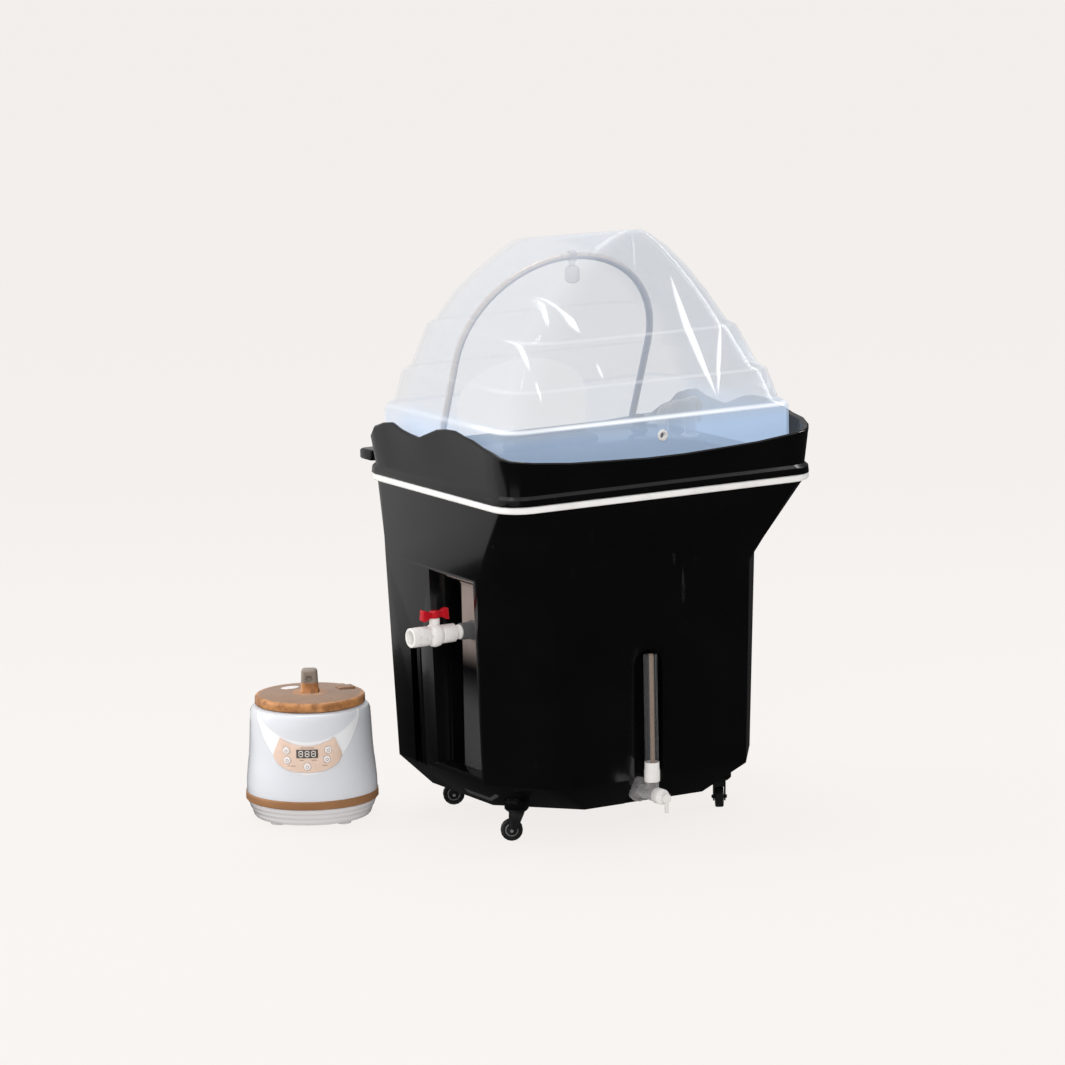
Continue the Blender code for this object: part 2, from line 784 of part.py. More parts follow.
def feed_lever():
    origin = (FEED_X + 23 + FIT, FEED_Y, FEED_Z)
    profile = [(7, 0), (8, 1), (8, 6), (6, 8)]
    hub = turned("feed_lever", profile, origin, (1, 0, 0), "clear_plastic", steps=16)
    x, y, z = origin
    arm = block("feed_lever_arm", (x + 1.5, y - 4, z - 30), (x + 6, y + 4, z - 3))
    return combine(hub, arm, "UNION")


# ---------------------------------------------------------------- drain valve


def drain_valve():
    """Stub, nipple and ball valve, one behind the other along -X, with the handle in line with the pipe."""
    out = (-1, 0, 0)
    wall = RECESS_BACK_X - FIT
    at = (wall, DRAIN_Y, DRAIN_Z)
    stub = [(17, 0), (17, 3), (14.5, 3), (14.5, 24), (11, 24), (11, 0)]
    turned("drain_stub", stub, at, out, "grey_pvc", ring=True)
    x = wall - 24 - FIT
    nipple = [(10, 0), (12.5, 0), (12.5, 4), (10.8, 5), (10.8, 11), (8, 11), (8, 0)]
    turned("drain_nipple", nipple, (x, DRAIN_Y, DRAIN_Z), out, "white_pvc", ring=True)
    x -= 11 + FIT
    big, bore = DRAIN_SOCKET_R, DRAIN_BORE_R
    body = [
        (bore - 3, 0),
        (big - 3, 0),
        (big - 1, 1.5),
        (big - 1, 24),
        (big - 3, 26),
        (19, 31),
        (20.5, 38),
        (19, 45),
        (big - 3, 50),
        (big - 1, 52),
        (big, 53),
        (big, 85),
        (big - 0.8, 86),
        (bore, 86),
        (bore, 62),
        (bore - 3, 60),
    ]
    valve = turned("drain_valve_body", body, (x, DRAIN_Y, DRAIN_Z), out, "white_pvc", ring=True)
    centre = (x - 38, DRAIN_Y, DRAIN_Z)
    bonnet = turned("drain_bonnet", [(9, 15), (9, 28), (8, 29.5)], centre)
    combine(valve, bonnet, "UNION")
    return drain_handle(centre)


def drain_handle(centre):
    """A butterfly handle on its stem, turning about the upright axis."""
    x, y, z = centre
    base = z + 29.5 + FIT
    hub = turned("drain_handle", [(9, 0), (9, 10), (7, 12)], (x, y, base), slot="red_plastic")
    sections = ((2, 6, 2, 9), (12, 7, 1, 11), (19, 8.5, -3, 14), (24, 8, -4, 15), (26, 5, -2, 12))
    for number, side in enumerate((-1, 1)):
        rings = []
        for reach, half, low, high in sections:
            px = x + side * reach
            rings.append(
                [
                    (px, y - half, base + low),
                    (px, y + half, base + low),
                    (px, y + half - 2, base + high),
                    (px, y - half + 2, base + high),
                ]
            )
        wing = loft(f"drain_wing_{number}", rings)
        combine(hub, wing, "UNION")
    return hub


# ---------------------------------------------------------------- level gauge


def gauge():
    """Ring nut on the recess wall, tee, union nut, sight tube and a small draw-off tap."""
    out = (0, -1, 0)
    seat = GAUGE_RECESS_Y - FIT
    ring = [(9, 0), (21.5, 0), (21.5, 7), (19, 9), (14, 9.5), (14, 15), (9, 15)]
    turned("gauge_ring_nut", ring, (GAUGE_X, seat, GAUGE_TEE_Z), out, "clear_plastic", steps=12, ring=True)
    start = seat - 15 - FIT
    length = start - (GAUGE_Y - 16)
    run = [(8, 0), (12, 0), (12, length), (8, length)]
    tee = turned("gauge_tee", run, (GAUGE_X, start, GAUGE_TEE_Z), out, "clear_plastic", ring=True)
    branch_low = GAUGE_TEE_Z + 9
    nut_z = GAUGE_TEE_Z + 21
    section = ((8, branch_low), (11.5, branch_low), (11.5, nut_z), (8, nut_z))
    branch = [(r, z - GAUGE_TEE_Z) for r, z in section]
    neck = turned("gauge_branch", branch, (GAUGE_X, GAUGE_Y, GAUGE_TEE_Z), ring=True)
    combine(tee, neck, "UNION")
    nut_low = nut_z + FIT
    tall = 34.0
    sleeve = GAUGE_TUBE_R + FIT
    nut = [(9, 0), (13, 0), (13.6, 2), (13.6, 20), (12.8, 22), (12.8, tall)]
    nut += [(sleeve, tall), (sleeve, 4), (9, 4)]
    turned("gauge_nut", nut, (GAUGE_X, GAUGE_Y, nut_low), slot="white_pvc", ring=True)
    tube_low = nut_low + 4 + FIT
    bore = GAUGE_TUBE_R - GAUGE_TUBE_WALL
    tall = GAUGE_TOP_Z - tube_low
    tube = [(bore, 0), (GAUGE_TUBE_R, 0), (GAUGE_TUBE_R, tall), (bore, tall)]
    turned("gauge_tube", tube, (GAUGE_X, GAUGE_Y, tube_low), slot="clear_plastic", ring=True)
    return gauge_tap(GAUGE_Y - 16 - FIT)


def gauge_tap(y):
    body = [(0.5, 0), (13.5, 0), (13.5, 17), (12, 19), (7, 19), (7, 26), (4.5, 26), (4.5, 12), (0.5, 12)]
    turned("gauge_tap", body, (GAUGE_X, y, GAUGE_TEE_Z), (0, -1, 0), "white_pvc", ring=True)
    origin = (GAUGE_X, y - 26 - FIT, GAUGE_TEE_Z)
    hub = turned("gauge_tap_lever", [(8, 0), (8, 5), (6.5, 6)], origin, (0, -1, 0), "white_pvc", steps=16)
    x, ly, z = origin
    arm = block("gauge_tap_arm", (x - 3, ly - 4.6, z - 25), (x + 3, ly - 1.2, z - 4))
    return combine(hub, arm, "UNION")


# ---------------------------------------------------------------- casters


def caster(name, x, y, degrees):
    """Fixed plate, swivel fork with its axle, and wheel. The angle turns the rolling direction from +X."""
    turn = math.radians(degrees)
    roll = Vector((math.cos(turn), -math.sin(turn), 0))
    axle = Vector((roll.y, -roll.x, 0))
    top = SHELL_BOTTOM_Z - FIT
    radius = CASTER_PLATE_R
    plate = [(radius - 6, -5.5), (radius - 3, -4.5), (radius - 3, -2.4), (radius, -2.4), (radius, 0)]
    turned(f"caster_{name}_plate", plate, (x, y, top), slot="black_rubber")
    here = Vector((x, y, 0))
    hub = here - roll * CASTER_TRAIL + Vector((0, 0, WHEEL_R))
    fork = caster_fork(name, here, hub, roll, axle, top - 5.5 - FIT)
    bore = AXLE_R + 0.4
    side = [(bore, 0), (6.5, 0), (7.5, 2.2), (12.6, 2.2), (13.4, 0), (WHEEL_R - 1.5, 0), (WHEEL_R, 2)]
    profile = [(r, WHEEL_HALF - h) for r, h in side] + [(r, h - WHEEL_HALF) for r, h in reversed(side)]
    wheel = turned(f"caster_{name}_wheel", profile, hub, axle, "black_rubber", steps=16, ring=True)
    attach(wheel, fork)


def caster_fork(name, here, hub, roll, axle, top):
    gap = WHEEL_HALF + 1.2
    outer = gap + 2.4
    crown = 2 * WHEEL_R + 1.5
    low = WHEEL_R - 6.5
    side = [(-outer, low), (-outer, top), (outer, top), (outer, low)]
    side += [(gap, low), (gap, crown), (-gap, crown), (-gap, low)]
    rings = []
    for way in (-1, 1):
        ring = []
        for across, z in side:
            t = (top - z) / (top - low)
            along = way * between(13, 6, t) - CASTER_TRAIL * t
            ring.append(here + roll * along + axle * across + Vector((0, 0, z)))
        rings.append(ring)
    pivot = here + Vector((0, 0, top))
    fork = loft(f"caster_{name}_fork", rings, "black_rubber", origin=pivot)
    pin = turned(f"axle_{name}", [(AXLE_R, -outer - 2.2), (AXLE_R, outer + 2.2)], hub, axle, steps=14)
    return combine(fork, pin, "UNION")


# ---------------------------------------------------------------- steamer


def steamer_point(turn, radius, z):
    """A point round the steamer. Turn 0 is the middle of its control panel."""
    angle = STEAMER_TURN + turn
    return Vector((STEAMER_X + math.sin(angle) * radius, STEAMER_Y - math.cos(angle) * radius, z))


def steamer_axis(z=0.0):
    return (STEAMER_X, STEAMER_Y, z)


BODY_PROFILE = (
    # height, and how far in from the base's radius
    (BAND_Z[1] + FIT, 0),
    (68, 0.3),
    (91, 2.4),
    (110, 4.8),
    (131, 6.4),
    (174, 8.4),
    (190, 9.4),
    (198, 13.0),
)


def body_radius(z):
    levels = BODY_PROFILE
    for (a, inset_a), (b, inset_b) in zip(levels, levels[1:]):
        if z <= b:
            return STEAMER_BASE_R - between(inset_a, inset_b, (z - a) / (b - a))
    return STEAMER_BASE_R - levels[-1][1]


def steamer_base():
    """Ribbed foot of the steamer, a tray inside, with four short feet under it."""
    low, high = 5.0, BAND_Z[0] - FIT
    profile = [(STEAMER_BASE_R - 19, low), (STEAMER_BASE_R - 15, low + 1)]
    ribs = 3
    for i in range(ribs):
        z = between(low + 3, high - 1.6, i / (ribs - 1))
        radius = STEAMER_BASE_R - 14 + 11 * i / (ribs - 1)
        profile += [(radius, z - 1.4), (radius + 1.4, z)]
    profile += [(STEAMER_BASE_R - 3, high), (STEAMER_BASE_R - 12, high), (STEAMER_BASE_R - 20, low + 4)]
    base = turned("steamer_base", profile, steamer_axis(), slot="steamer_white", steps=32)
    for number in range(4):
        centre = steamer_point(math.radians(45 + 90 * number), STEAMER_BASE_R - 34, 0)
        foot = turned(f"steamer_foot_{number}", [(12, 0), (13, 1), (13, low + 3)], centre, steps=14)
        combine(base, foot, "UNION")
    return base


def steamer_heater():
    """The heating plate under the pot, on its post."""
    low, high = 9.0 + FIT, POT_FLOOR_Z - FIT
    profile = [(34, low), (34, low + 4), (20, low + 8), (20, high - 16), (64, high - 10), (64, high)]
    return turned("steamer_heater", profile, steamer_axis(), slot="steel")


def steamer_shell():
    band = [
        (STEAMER_BASE_R - 12, BAND_Z[0]),
        (STEAMER_BASE_R + 0.5, BAND_Z[0]),
        (STEAMER_BASE_R + 1.5, BAND_Z[0] + 1.5),
        (STEAMER_BASE_R + 1.5, BAND_Z[1] - 1.5),
        (STEAMER_BASE_R + 0.5, BAND_Z[1]),
        (STEAMER_BASE_R - 12, BAND_Z[1]),
    ]
    turned("steamer_band", band, steamer_axis(), slot="gold_trim", steps=32, ring=True)
    mouth = POT_R + 4
    outside = [(STEAMER_BASE_R - inset, z) for z, inset in BODY_PROFILE]
    outside += [(LID_R - 1.5, STEAMER_TOP_Z), (mouth, STEAMER_TOP_Z)]
    inside = [(mouth, STEAMER_TOP_Z - 4), (LID_R - 5, 180), (STEAMER_BASE_R - 8, 90)]
    inside += [(STEAMER_BASE_R - 5, BAND_Z[1] + FIT)]
    turned("steamer_body", outside + inside, steamer_axis(), slot="steamer_white", steps=32, ring=True)
    low, high = POT_FLOOR_Z, STEAMER_TOP_Z + FIT
    pot = [
        (20, low + 2),
        (POT_R - 10, low + 2),
        (POT_R - 2, low + 9),
        (POT_R - 1, high + 1),
        (POT_R + 9, high + 1),
        (POT_R + 9, high),
        (POT_R + 1, high),
        (POT_R, low + 8),
        (POT_R - 9, low),
        (20, low),
    ]
    return turned("steamer_pot", pot, steamer_axis(), slot="steel", steps=24)


def steamer_lid():
    low = STEAMER_TOP_Z + 1 + 2 * FIT
    high = low + LID_THICK
    profile = [
        (20, low + 8),
        (LID_R - 16, low + 6),
        (LID_R - 14, low + 1),
        (LID_R - 2, low),
        (LID_R, low + 2),
        (LID_R, high - 3),
        (LID_R - 2.5, high),
        (LID_R - 12, high + 1),
        (20, high + 3),
    ]
    lid = turned("steamer_lid", profile, steamer_axis(), slot="amber_lid", steps=32)
    tab = steamer_point(math.radians(150), LID_R + 2, low + 4)
    block = turned("lid_tab", [(9, 0), (10, 1.5), (10, 7), (8, 8.5)], tab, steps=12)
    combine(lid, block, "UNION")
    return steam_outlet(high + 3 + FIT)


def steam_outlet(low):
    """The block on the lid that lets the steam out, with a round bore at the front."""
    rings = []
    high = OUTLET_TOP_Z
    for z, half, deep in ((low, 17, 15), (low + 5, 15, 13), (high - 3, 13.5, 12), (high, 11.5, 10)):
        ring = outline(half, -deep, deep, (5, 5), (5, 5), 1, 3)
        turn = Matrix.Rotation(STEAMER_TURN, 3, "Z")
        rings.append([Vector(steamer_axis(z)) + turn @ Vector((px, py, 0)) for px, py in ring])
    block = loft("steam_outlet", rings, "amber_lid")
    centre = steamer_point(0, 6, (low + OUTLET_TOP_Z) / 2 + 4)
    facing = steamer_point(0, 1, 0) - steamer_point(0, 0, 0)
    bore = turned("outlet_bore_cut", [(6, 0), (6, 20)], centre, facing, steps=16)
    return combine(block, bore, "DIFFERENCE")


PANEL_HALF_TURN = math.radians(32)
PANEL_LOW_Z = 102.5
PANEL_HIGH_Z = 147.4
PANEL_CORNER = 0.8
PANEL_CORNER_RISE = 13.0


def panel_edges(turn):
    """Lowest and highest point of the panel at one turn: a bowed foot, a dished top and slanting sides."""
    t = abs(turn / PANEL_HALF_TURN)
    bow = 1 - math.sqrt(max(0.0, 1 - (t * 0.97) ** 2.4))
    low = PANEL_LOW_Z + 34 * bow
    high = PANEL_HIGH_Z + PANEL_CORNER_RISE * (t / PANEL_CORNER) ** 2
    if t > PANEL_CORNER:
        past = (t - PANEL_CORNER) / (1 - PANEL_CORNER)
        high = between(PANEL_HIGH_Z + PANEL_CORNER_RISE, PANEL_LOW_Z + 31, past)
    return low, max(high, low + 3)


def patch(name, turns, edges, offset, thick, slot):
    """A curved plate on the steamer's side, between two heights at each turn."""
    rings = []
    for turn in turns:
        low, high = edges(turn)
        rings.append(
            [
                steamer_point(turn, body_radius(low) + offset, low),
                steamer_point(turn, body_radius(high) + offset, high),
                steamer_point(turn, body_radius(high) + offset + thick, high),
                steamer_point(turn, body_radius(low) + offset + thick, low),
            ]
        )
    return loft(name, rings, slot)


BUTTONS = {
    "upper_left": (-19.0, 139.5),
    "lower_left": (-18.0, 123.0),
    "upper_right": (19.0, 140.0),
    "lower_right": (17.5, 124.0),
    "centre": (0.0, 112.4),
}


def control_panel():
    count = 20
    turns = [PANEL_HALF_TURN * (2 * i / count - 1) for i in range(count + 1)]
    panel = patch("control_panel", turns, panel_edges, 0.5, PANEL_THICK, "panel_beige")
    for name, (degrees, z) in BUTTONS.items():
        turn = math.radians(degrees)
        root = steamer_point(turn, body_radius(z) + 0.5, z)
        facing = button_axis(turn)
        gap = BUTTON_R + 0.6
        hole = turned(f"button_hole_{name}", [(gap, -3), (gap, 9)], root, facing, steps=12)
        combine(panel, hole, "DIFFERENCE")
        low, high = 1.6, PANEL_THICK + 1.6
        profile = [(BUTTON_R - 0.6, low), (BUTTON_R, low + 0.6), (BUTTON_R, high - 0.8), (BUTTON_R - 1, high)]
        turned(f"button_{name}", profile, root, facing, "button_beige", steps=12)
    half = math.radians(9.6)
    turns = [half * (2 * i / 6 - 1) for i in range(7)]
    return patch("display", turns, lambda _t: (127.6, 142.2), 0.5 + PANEL_THICK + 0.8, 0.8, "display_dark")


def button_axis(turn):
    """Square to the side of the steamer, which leans in a little."""
    away = steamer_point(turn, 1, 0) - steamer_point(turn, 0, 0)
    slope = (body_radius(105) - body_radius(150)) / 45
    return (away + Vector((0, 0, slope))).normalized()


# ---------------------------------------------------------------- assembly


def centre_on_floor():
    """Hangs everything on one empty, which puts the middle of the set's footprint at the origin."""
    bpy.context.view_layer.update()
    graph = bpy.context.evaluated_depsgraph_get()
    low = Vector((1e9, 1e9, 1e9))
    high = -low
    for obj in PARTS.objects:
        found = obj.evaluated_get(graph)
        mesh = found.to_mesh()
        for vertex in mesh.vertices:
            point = found.matrix_world @ vertex.co
            low = Vector(map(min, low, point))
            high = Vector(map(max, high, point))
        found.to_mesh_clear()
    stand_point = bpy.data.objects.new("stand_point", None)
    PARTS.objects.link(stand_point)
    for obj in [*PARTS.objects, *CUTTERS.objects]:
        if obj.parent is None and obj is not stand_point:
            obj.parent = stand_point
    stand_point.location = (-(low.x + high.x) / 2, -(low.y + high.y) / 2, -low.z)
    print("moved by", [round(value, 6) for value in stand_point.location])


def build():
    tub_shell()
    circulation_pump()
    trim_strip()
    basin()
    strainer()
    head_rest()
    hood()
    hose_grommet()
    spray_nozzle(spray_arch())
    arch_socket("arch_socket_left", -1)
    arch_socket("arch_socket_right", 1)
    feed_valve()
    feed_hose()
    feed_lever()
    drain_valve()
    gauge()
    for name, place in CASTERS.items():
        caster(name, *place)
    steamer_base()
    steamer_heater()
    steamer_shell()
    steamer_lid()
    control_panel()
    centre_on_floor()


build()
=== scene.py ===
"""Looks of the portable head steam basin: finishes, smooth shapes and small details round its fixed frame."""

import json
import math

import bmesh
import bpy
from mathutils import Matrix, Vector
from mathutils.bvhtree import BVHTree

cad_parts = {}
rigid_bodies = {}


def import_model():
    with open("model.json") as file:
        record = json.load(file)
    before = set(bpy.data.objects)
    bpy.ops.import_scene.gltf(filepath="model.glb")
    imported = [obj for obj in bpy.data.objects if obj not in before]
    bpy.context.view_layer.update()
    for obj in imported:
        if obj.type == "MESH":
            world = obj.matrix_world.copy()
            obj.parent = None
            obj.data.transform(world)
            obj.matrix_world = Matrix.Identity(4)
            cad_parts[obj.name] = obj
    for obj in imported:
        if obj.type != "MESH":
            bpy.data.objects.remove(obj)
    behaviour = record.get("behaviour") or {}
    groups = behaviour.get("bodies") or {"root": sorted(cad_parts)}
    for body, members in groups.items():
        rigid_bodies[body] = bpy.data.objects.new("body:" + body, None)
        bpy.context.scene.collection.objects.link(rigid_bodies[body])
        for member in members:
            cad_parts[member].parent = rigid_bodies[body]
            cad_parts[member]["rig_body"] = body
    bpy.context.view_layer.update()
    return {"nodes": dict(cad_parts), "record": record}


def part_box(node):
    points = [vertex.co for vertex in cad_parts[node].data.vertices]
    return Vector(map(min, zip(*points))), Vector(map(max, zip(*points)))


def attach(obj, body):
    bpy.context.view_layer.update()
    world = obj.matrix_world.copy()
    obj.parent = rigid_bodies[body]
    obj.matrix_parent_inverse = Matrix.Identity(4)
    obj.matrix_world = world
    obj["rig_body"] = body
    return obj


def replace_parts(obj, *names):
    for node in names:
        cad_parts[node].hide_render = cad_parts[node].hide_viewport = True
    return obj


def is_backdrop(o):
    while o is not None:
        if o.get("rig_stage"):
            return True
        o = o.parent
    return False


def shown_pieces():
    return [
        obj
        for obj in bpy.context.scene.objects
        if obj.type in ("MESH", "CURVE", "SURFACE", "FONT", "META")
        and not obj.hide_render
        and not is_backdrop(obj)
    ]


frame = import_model()
MM = 0.001
DOWN = Vector((0, 0, -1))
# From the middle of the basin to the middle of the whole set, which is the frame's origin.
SHIFT = Vector((0.10535, -0.05345, 0.0))
JOINTS = {joint["name"]: joint for joint in frame["record"]["behaviour"]["joints"]}
CASTERS = ("front_left", "front_right", "back_left", "back_right")
STEAMER_X, STEAMER_Y, STEAMER_TURN = -405.0, 262.0, math.radians(-31.8)


def at(x, y, z):
    """A point in the frame, from millimetres measured from under the basin's middle."""
    return Vector((x, y, z)) * MM + SHIFT


# ---------------------------------------------------------------- shader maths


class Wire:
    """A socket that takes part in Python expressions."""

    def __init__(self, paint, socket):
        self.paint = paint
        self.socket = socket

    def maths(self, operation, *values):
        return self.paint.node("ShaderNodeMath", {"operation": operation}, dict(enumerate(values)))

    def __add__(self, other):
        return self.maths("ADD", self, other)

    __radd__ = __add__

    def __mul__(self, other):
        return self.maths("MULTIPLY", self, other)

    __rmul__ = __mul__

    def __sub__(self, other):
        return self.maths("SUBTRACT", self, other)

    def __rsub__(self, other):
        return self.maths("SUBTRACT", other, self)

    def __truediv__(self, other):
        return self.maths("DIVIDE", self, other)

    def __pow__(self, other):
        return self.maths("POWER", self, other)

    def above(self, edge, soft=0.0):
        """1 where the value is over the edge, softly from one side of it to the other."""
        if not soft:
            return self.maths("GREATER_THAN", self, edge)
        steps = {"interpolation_type": "SMOOTHSTEP"}
        values = {0: self, 1: edge - soft, 2: edge + soft, 3: 0.0, 4: 1.0}
        return self.paint.node("ShaderNodeMapRange", steps, values)

    def below(self, edge, soft=0.0):
        return 1 - self.above(edge, soft)

    def size(self):
        return self.maths("ABSOLUTE", self)


class Paint:
    """The nodes of one finish."""

    def __init__(self, name):
        self.material = bpy.data.materials.new(name)
        self.material.use_nodes = True
        self.tree = self.material.node_tree
        self.tree.nodes.clear()
        self.place = self.node("ShaderNodeTexCoord", {}, {}, "Object")

    def node(self, kind, settings, values, output=0):
        made = self.tree.nodes.new(kind)
        for key, value in settings.items():
            if key == "stops":
                self.set_stops(made.color_ramp, value)
            else:
                setattr(made, key, value)
        for key, value in values.items():
            if isinstance(value, Wire):
                self.tree.links.new(value.socket, made.inputs[key])
            else:
                made.inputs[key].default_value = value
        return Wire(self, made.outputs[output]) if made.outputs else None

    @staticmethod
    def set_stops(ramp, stops):
        while len(ramp.elements) < len(stops):
            ramp.elements.new(1.0)
        for element, (position, color) in zip(ramp.elements, stops):
            element.position = position
            element.color = (*color, 1)

    def noise(self, scale, detail=4.0, roughness=0.5, place=None):
        values = {"Vector": place or self.place, "Scale": scale, "Detail": detail, "Roughness": roughness}
        return self.node("ShaderNodeTexNoise", {}, values)

    def stretched(self, scale):
        """Object coordinates scaled by three factors."""
        return self.node("ShaderNodeMapping", {}, {"Vector": self.place, "Scale": scale})

    def axis(self, letter, place=None):
        return self.node("ShaderNodeSeparateXYZ", {}, {0: place or self.place}, letter)

    def places(self):
        """Object coordinates in millimetres from under the basin's middle."""
        return tuple((self.axis(letter) - step) * 1000 for letter, step in zip("XYZ", SHIFT))

    def round_steamer(self):
        """Distance from the steamer's axis, and turn from the middle of its panel, in radians."""
        x, y, z = self.places()
        x, y = x - STEAMER_X, y - STEAMER_Y
        far = (x * x + y * y) ** 0.5
        sin, cos = math.sin(STEAMER_TURN), math.cos(STEAMER_TURN)
        turn = (x * cos + y * sin).maths("ARCTAN2", x * cos + y * sin, x * sin - y * cos)
        return far, turn, z

    def streak(self, x, z, start, end, half):
        """1 in a leaf-shaped streak between two points, widest half way along."""
        long = math.dist(start, end)
        ux, uz = (end[0] - start[0]) / long, (end[1] - start[1]) / long
        dx, dz = x - start[0], z - start[1]
        t = (dx * ux + dz * uz) / long
        off = (dx * uz - dz * ux).size()
        return (t * (1 - t) * (4 * half) - off).above(0.5, 1.0)

    def mix(self, factor, first, second):
        settings = {"data_type": "RGBA"}
        return self.node("ShaderNodeMix", settings, {0: factor, 6: first, 7: second}, 2)

    def bump(self, height, strength, distance):
        values = {"Height": height, "Strength": strength, "Distance": distance * MM}
        return self.node("ShaderNodeBump", {}, values)

    def surface(self, color, roughness, **sockets):
        values = {"Base Color": color, "Roughness": roughness}
        values.update({key.replace("_", " "): value for key, value in sockets.items()})
        shader = self.node("ShaderNodeBsdfPrincipled", {}, values)
        self.node("ShaderNodeOutputMaterial", {}, {"Surface": shader})
        return self.material


def rgb(red, green, blue):
    """A colour given as a screen shows it, 0 to 255."""
    linear = [c / 255 / 12.92 if c <= 10 else ((c / 255 + 0.055) / 1.055) ** 2.4 for c in (red, green, blue)]
    return (*linear, 1)


# ---------------------------------------------------------------- finishes


def moulded_black():
    """Glossy moulded black: orange peel, clouding in the gloss, and a painted reflection on the plate and
    roof of the drain recess.
    """
    paint = Paint("moulded_black")
    cloud = paint.noise(7.0, 3.0)
    peel = paint.noise(260.0, 2.0)
    wave = paint.noise(14.0, 2.0)
    scuff = paint.noise(1.0, 6.0, 0.7, paint.stretched((60, 60, 6))).above(0.7, 0.05)
    color = paint.mix(cloud, rgb(2, 2, 3), rgb(8, 8, 9))
    color = paint.mix(scuff * 0.25, color, rgb(70, 70, 72))
    x, y, z = paint.places()
    in_recess = y.above(-93, 1)
    plate = x.above(-242.5, 1) * x.below(-236, 1) * in_recess * y.below(13, 1.5)
    under_roof = z.above(438, 1.5) * z.below(454, 1)
    roof = under_roof * x.above(-274, 2) * x.below(-238, 2) * in_recess * y.below(56, 2)
    # painted reflection: pale brown on the upper plate and on the roof of the drain recess, grey low on the
    # plate
    pale = paint.mix(cloud, rgb(150, 136, 130), rgb(176, 162, 155))
    color = paint.mix(plate * z.above(318, 34) + roof, color, pale)
    color = paint.mix(plate * z.below(250, 40) * 0.6, color, rgb(86, 86, 87))
    height = peel * 0.12 + wave
    return paint.surface(
        color,
        0.12 + cloud * 0.14 + scuff * 0.15,
        Normal=paint.bump(height, 0.35, 1.2),
        Specular_IOR_Level=0.5,
        Coat_Weight=0.25,
        Coat_Roughness=0.08,
    )


def white_band():
    paint = Paint("white_band")
    dirt = paint.noise(30.0, 5.0)
    grain = paint.noise(900.0, 2.0)
    color = paint.mix(dirt.above(0.6, 0.15) * 0.35, rgb(236, 236, 234), rgb(205, 204, 200))
    return paint.surface(color, 0.38 + dirt * 0.15, Normal=paint.bump(grain, 0.2, 0.2))


def soft_black():
    """Rubber and nylon of the casters and sockets."""
    paint = Paint("soft_black")
    grain = paint.noise(700.0, 3.0)
    dust = paint.noise(45.0, 5.0).above(0.62, 0.1)
    color = paint.mix(dust * 0.3, rgb(22, 22, 23), rgb(70, 69, 67))
    return paint.surface(color, 0.42 + dust * 0.3, Normal=paint.bump(grain, 0.3, 0.25))


# start, end and half width of each painted highlight streak on the hood's front, as x and height: the first
# five on pressed fold lines, the sixth by the right edge, the last three down the front-left corner
HIGHLIGHT_STREAKS = (
    ((66, 958), (134, 742), 7.0),
    ((135, 744), (164, 874), 4.0),
    ((-164, 940), (-112, 868), 3.0),
    ((-144, 912), (-116, 872), 6.5),
    ((-92, 822), (-82, 792), 2.8),
    ((222, 852), (276, 726), 3.2),
    ((-156, 940), (-168, 880), 2.4),
    ((-212, 876), (-214, 812), 2.4),
    ((-209, 804), (-209, 764), 2.4),
)
# height, half width and strength of each painted highlight along a step edge round the hood
STEP_EDGE_HIGHLIGHTS = ((722, 3.0, 1.0), (783, 2.2, 0.34), (859, 2.2, 0.34))


def hood_sheet():
    """Clear thermoformed sheet: a pale veil, bluish low down, that glows a little as painted light, with
    painted highlights on its pressed fold lines, by its front corners, along its step edges and down the
    middle of its front.
    """
    paint = Paint("clear_hood_sheet")
    x, y, z = paint.places()
    facing = paint.node("ShaderNodeLayerWeight", {}, {"Blend": 0.35}, "Facing")
    haze = paint.noise(5.0, 3.0)
    ripple = paint.noise(9.0, 2.0)
    fine = paint.noise(160.0, 2.0)
    front = y.below(-120, 40)
    back = y.above(120, 40)
    # painted highlight streaks, which the bump also presses in a little
    streak_highlights = 0.0
    for start, end, half in HIGHLIGHT_STREAKS:
        streak_highlights = paint.streak(x, z, start, end, half) + streak_highlights
    streak_highlights = streak_highlights.maths("MINIMUM", streak_highlights, 1.0) * front
    # painted highlight along each step edge round the hood
    edges = 0.0
    for height, half, weight in STEP_EDGE_HIGHLIGHTS:
        edges = (z - height).size().below(half, half * 0.8) * weight + edges
    edges = edges * (0.45 + haze * 0.7)
    # painted highlight down the middle of the front
    crease_highlight = paint.streak(x + 2, z, (0, 1040), (0, 960), 1.6) * front * 0.5
    # where painted highlight falls, the sheet turns nearly opaque and very pale
    painted_highlight = streak_highlights * 0.8 + edges * (front * 0.6 + 0.25) + crease_highlight
    painted_highlight = painted_highlight.maths("MINIMUM", painted_highlight, 1.0)
    veil = 0.3 - back * 0.22 + facing ** 3 * 0.2 + haze * 0.05
    alpha = paint.node("ShaderNodeMix", {"data_type": "FLOAT"}, {0: painted_highlight, 2: veil, 3: 0.9})
    low = z.below(716, 22)
    tint = paint.mix(low, rgb(188, 193, 200), rgb(188, 211, 240))
    color = paint.mix(painted_highlight, tint, rgb(250, 251, 252))
    # the veil's colour is halved in the base and also glows: painted light that keeps the sheet bright
    return paint.surface(
        paint.mix(0.5, color, rgb(0, 0, 0)),
        0.05 + haze * 0.05,
        Alpha=alpha,
        Emission_Color=color,
        Emission_Strength=0.72,
        Normal=paint.bump(ripple + fine * 0.05 + streak_highlights * 0.4, 0.25, 1.5),
        Specular_IOR_Level=0.6,
    )


